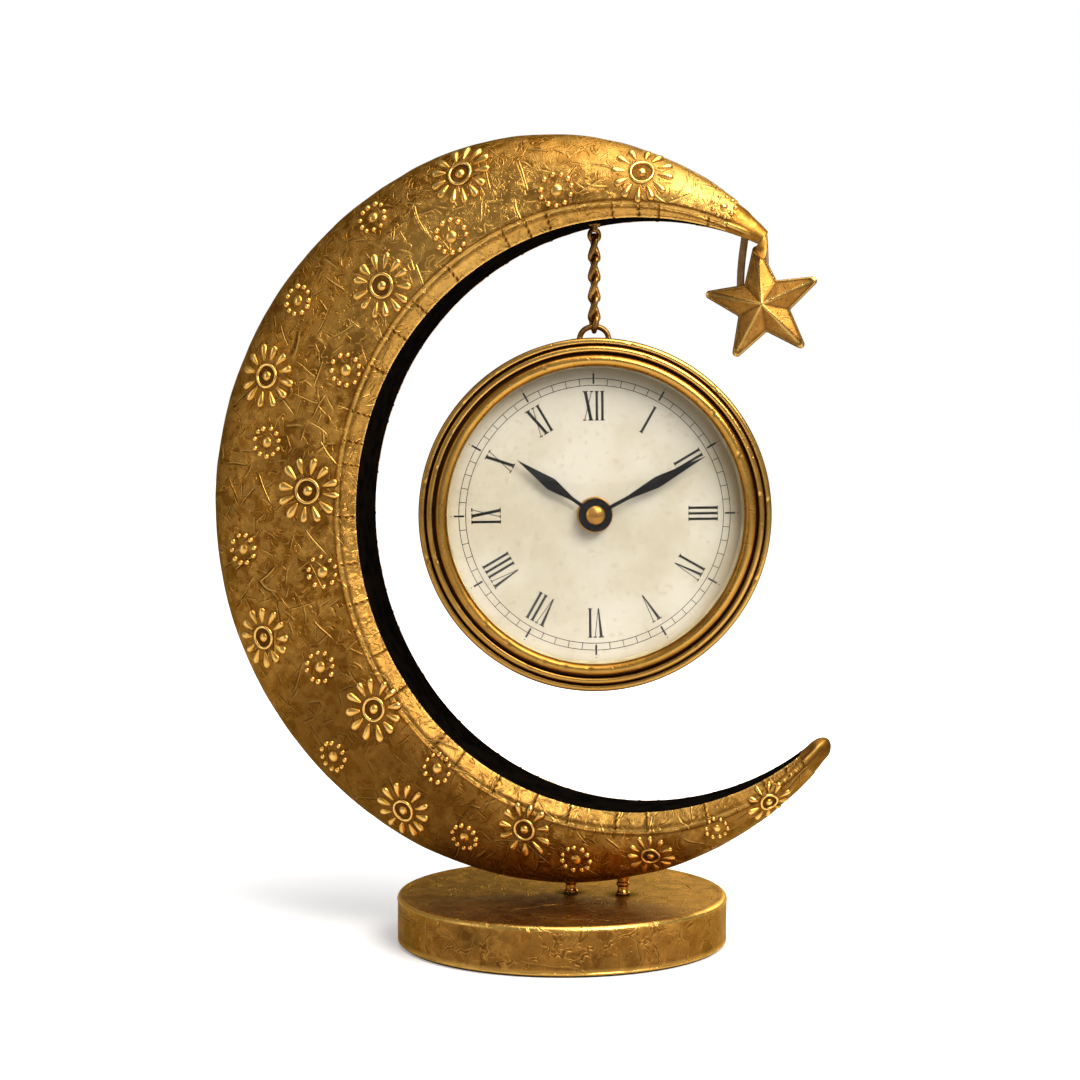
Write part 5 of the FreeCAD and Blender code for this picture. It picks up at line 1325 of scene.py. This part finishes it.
def starPart(side):
    # facets from the peak to the outline, with a painted highlight on the ridges, painted shade in the valleys and a
    # rolled edge
    corners = []
    for k in range(10):
        far, soft = (star["reach"] + 3.1, 1.7) if k % 2 == 0 else (star["notch"], 0.8)
        c, s = cosSin(star["turn"] + 36 * k)
        corners.append((far * c, far * s, soft))
    outline = refined(filleted(corners, 8, True), 0.5, True)
    share = (1 - (1 - np.linspace(0, 1, 40)[1:]) ** 1.3)[:, None]
    x, z = share * outline[None, :, 0], share * outline[None, :, 1]
    up = star["rim"] + (star["deep"] - star["rim"]) * (1 - share) - 0.2
    points = packed(star["x"] + x, star["y"] + side * up, star["z"] + z)
    edge = bell(share - 0.95, 0.035)
    points[..., 1] += side * (waves(points, 71 + side, 12, 5) * 0.07 * (1 - share ** 6) + 0.3 * edge)
    reach = np.hypot(x, z)
    turn = (np.degrees(np.arctan2(z, x)) - star["turn"] + 36) % 72 - 36
    ridge = bell(reach * np.sin(np.radians(turn)), 0.45)
    valley = bell(reach * np.sin(np.radians(36 - np.abs(turn))), 0.7)
    # painted highlight on the ridges and the rolled edge; painted shade in the valleys, inside the rolled edge and
    # on the flat outline
    shine = np.maximum(ridge * 0.8, edge * 0.6 + 0 * x)
    shade = np.maximum(valley * 0.45, bell(share - 0.88, 0.03) * 0.5 + 0 * x) * (1 - ridge)
    rimY = star["y"] + side * 0.03
    rim = packed(star["x"] + outline[:, 0], rimY, star["z"] + outline[:, 1])
    points = np.concatenate([points, rim[None]])
    top = np.array([star["x"], star["y"] + side * (star["deep"] - 0.2), star["z"]])
    flat = np.array([star["x"], rimY, star["z"]])
    part = outward(gridPart(points, closedColumns=True, start=top, end=flat))
    rest = np.zeros(len(outline) + 2)
    return (*part, np.concatenate([shade.ravel(), rest + 0.6]), np.concatenate([shine.ravel(), rest]))


def buildStrap():
    # a flat band bent over the pin, its feet on the star's back
    strap = {"x": 77.6, "z": 287.6, "bend": 3.9, "left": (72.2, 261.9), "right": (82.4, 267.2), "y": 6.63,
             "half": 1.55, "thick": 0.55}
    bow = np.linspace(np.pi, 0, 25)
    arc = packed(strap["x"] + strap["bend"] * np.cos(bow), strap["z"] + strap["bend"] * np.sin(bow))
    share = np.linspace(0, 1, 24)[:-1, None]
    left = np.array(strap["left"]) * (1 - share) + arc[0] * share
    left[:, 0] -= 0.7 * np.sin(np.pi * share[:, 0])
    right = arc[-1] * (1 - share) + np.array(strap["right"]) * share
    line = np.concatenate([left, arc, right[1:]])
    path = packed(line[:, 0], strap["y"], line[:, 1])
    band = tubePart(path, strap["half"], np.array([0.0, 1.0, 0.0]), sides=20, flat=strap["thick"] / strap["half"])
    buildMesh("strap_band", [band], strapBrass, "star", swap="star_strap")


for label, side, swap in (("star_face", -1, "star_front"), ("star_rear", 1, "star_back")):
    buildMesh(label, [starPart(side)], starBrass, "star", crease=14, swap=swap)
buildStrap()
print("star made")


# CAD nodes that keep their shape

kept = [
    (iron, "base_weight anchor_block"), (felt, "base_felt"), (strapBrass, "star_pin"), (caseBrass, "back_cover"),
    (steel, "stand_studs stud_nuts eye_nut cover_screws cell_contacts"), (cellPaint, "dry_cell"),
    (blackPlastic, "movement_front movement_back setting_knob"), (polished, "neck_nut minute_arbor"),
    (handPaint, "minute_hand hour_hand"), (gearPlastic, "hour_wheel idler_wheel"),
]
for material, names in kept:
    for node in [nodes[name] for name in names.split()]:
        if not node.material_slots:
            node.data.materials.append(material)
        for slot in node.material_slots:
            slot.link = "OBJECT"
            slot.material = material
print("materials given")


# Floor, lights and camera

def buildFloor():
    # 12 m across
    mesh = bpy.data.meshes.new("floor")
    mesh.from_pydata([(x, y, 0) for x, y in box(-6.0, -6.0, 6.0, 6.0)], [], [(0, 1, 2, 3)])
    material, tree, shader, surface = newMaterial("floor white")
    feed(shader.inputs, {"Base Color": (0.85, 0.85, 0.85, 1), "Roughness": 0.32, "Specular IOR Level": 0.25})
    # the camera sees it lifted to white, more so away from the object, and the shadow stays
    lift = span(vectorCalc("LENGTH", objectSpot(tree)), 0.09, 0.4, 0.24, 1.0)
    glow = addNode(tree, "ShaderNodeEmission", {"Color": (1, 1, 1, 1), "Strength": lift})
    nothing = addNode(tree, "ShaderNodeEmission", {"Strength": 0.0})
    seen = mixShaders(lightPath(tree, "Is Camera Ray"), nothing.outputs[0], glow.outputs[0])
    both = joinNode("ShaderNodeAddShader", {0: shader.outputs[0], 1: seen})
    tree.links.new(both[0], surface)
    mesh.materials.append(material)
    floor = bpy.data.objects.new("floor", mesh)
    bpy.context.scene.collection.objects.link(floor)


def addLight(name, place, aim, size, power, tint=(1, 1, 1)):
    data = bpy.data.lights.new(name, "AREA")
    data.shape = "RECTANGLE"
    data.size, data.size_y = size
    data.energy = power
    data.color = tint
    lamp = bpy.data.objects.new(name, data)
    lamp.location = place
    lamp.rotation_euler = (Vector(aim) - Vector(place)).to_track_quat("-Z", "Y").to_euler()
    bpy.context.scene.collection.objects.link(lamp)


def buildWorld():
    world = bpy.data.worlds.new("studio")
    bpy.context.scene.world = world
    world.use_nodes = True
    tree = world.node_tree
    tree.nodes.clear()
    leave = tree.nodes.new("ShaderNodeOutputWorld")
    white = addNode(tree, "ShaderNodeBackground", {"Color": (1, 1, 1, 1), "Strength": 1.0})
    room = addNode(tree, "ShaderNodeBackground", {"Color": (0.86, 0.84, 0.82, 1), "Strength": 0.34})
    seen = highest(lightPath(tree, "Is Camera Ray"), lightPath(tree, "Is Transmission Ray"))
    tree.links.new(mixShaders(seen, room.outputs[0], white.outputs[0]), leave.inputs["Surface"])


buildFloor()
buildWorld()
addLight("key", (0.7, -0.62, 0.95), (0.0, 0.0, 0.2), (0.8, 0.6), 19, (1.0, 0.97, 0.92))
addLight("top", (0.2, -0.1, 1.15), (0.0, 0.0, 0.1), (1.0, 0.8), 8)
addLight("left", (-0.95, -0.6, 0.45), (0.0, 0.0, 0.18), (0.3, 0.8), 1.3)
addLight("back", (0.3, 0.9, 0.5), (0.0, 0.0, 0.18), (1.0, 0.6), 4)

scene = bpy.context.scene
cameraData = bpy.data.cameras.new("camera")
cameraData.lens = 78
cameraData.sensor_width = 36
camera = bpy.data.objects.new("camera", cameraData)
camera.location = (0.18207, -0.94058, 0.21822)
camera.rotation_euler = (math.radians(86.845), 0, math.radians(11.5))
scene.collection.objects.link(camera)
scene.camera = camera
scene.view_settings.view_transform = "Standard"
print("stage set")
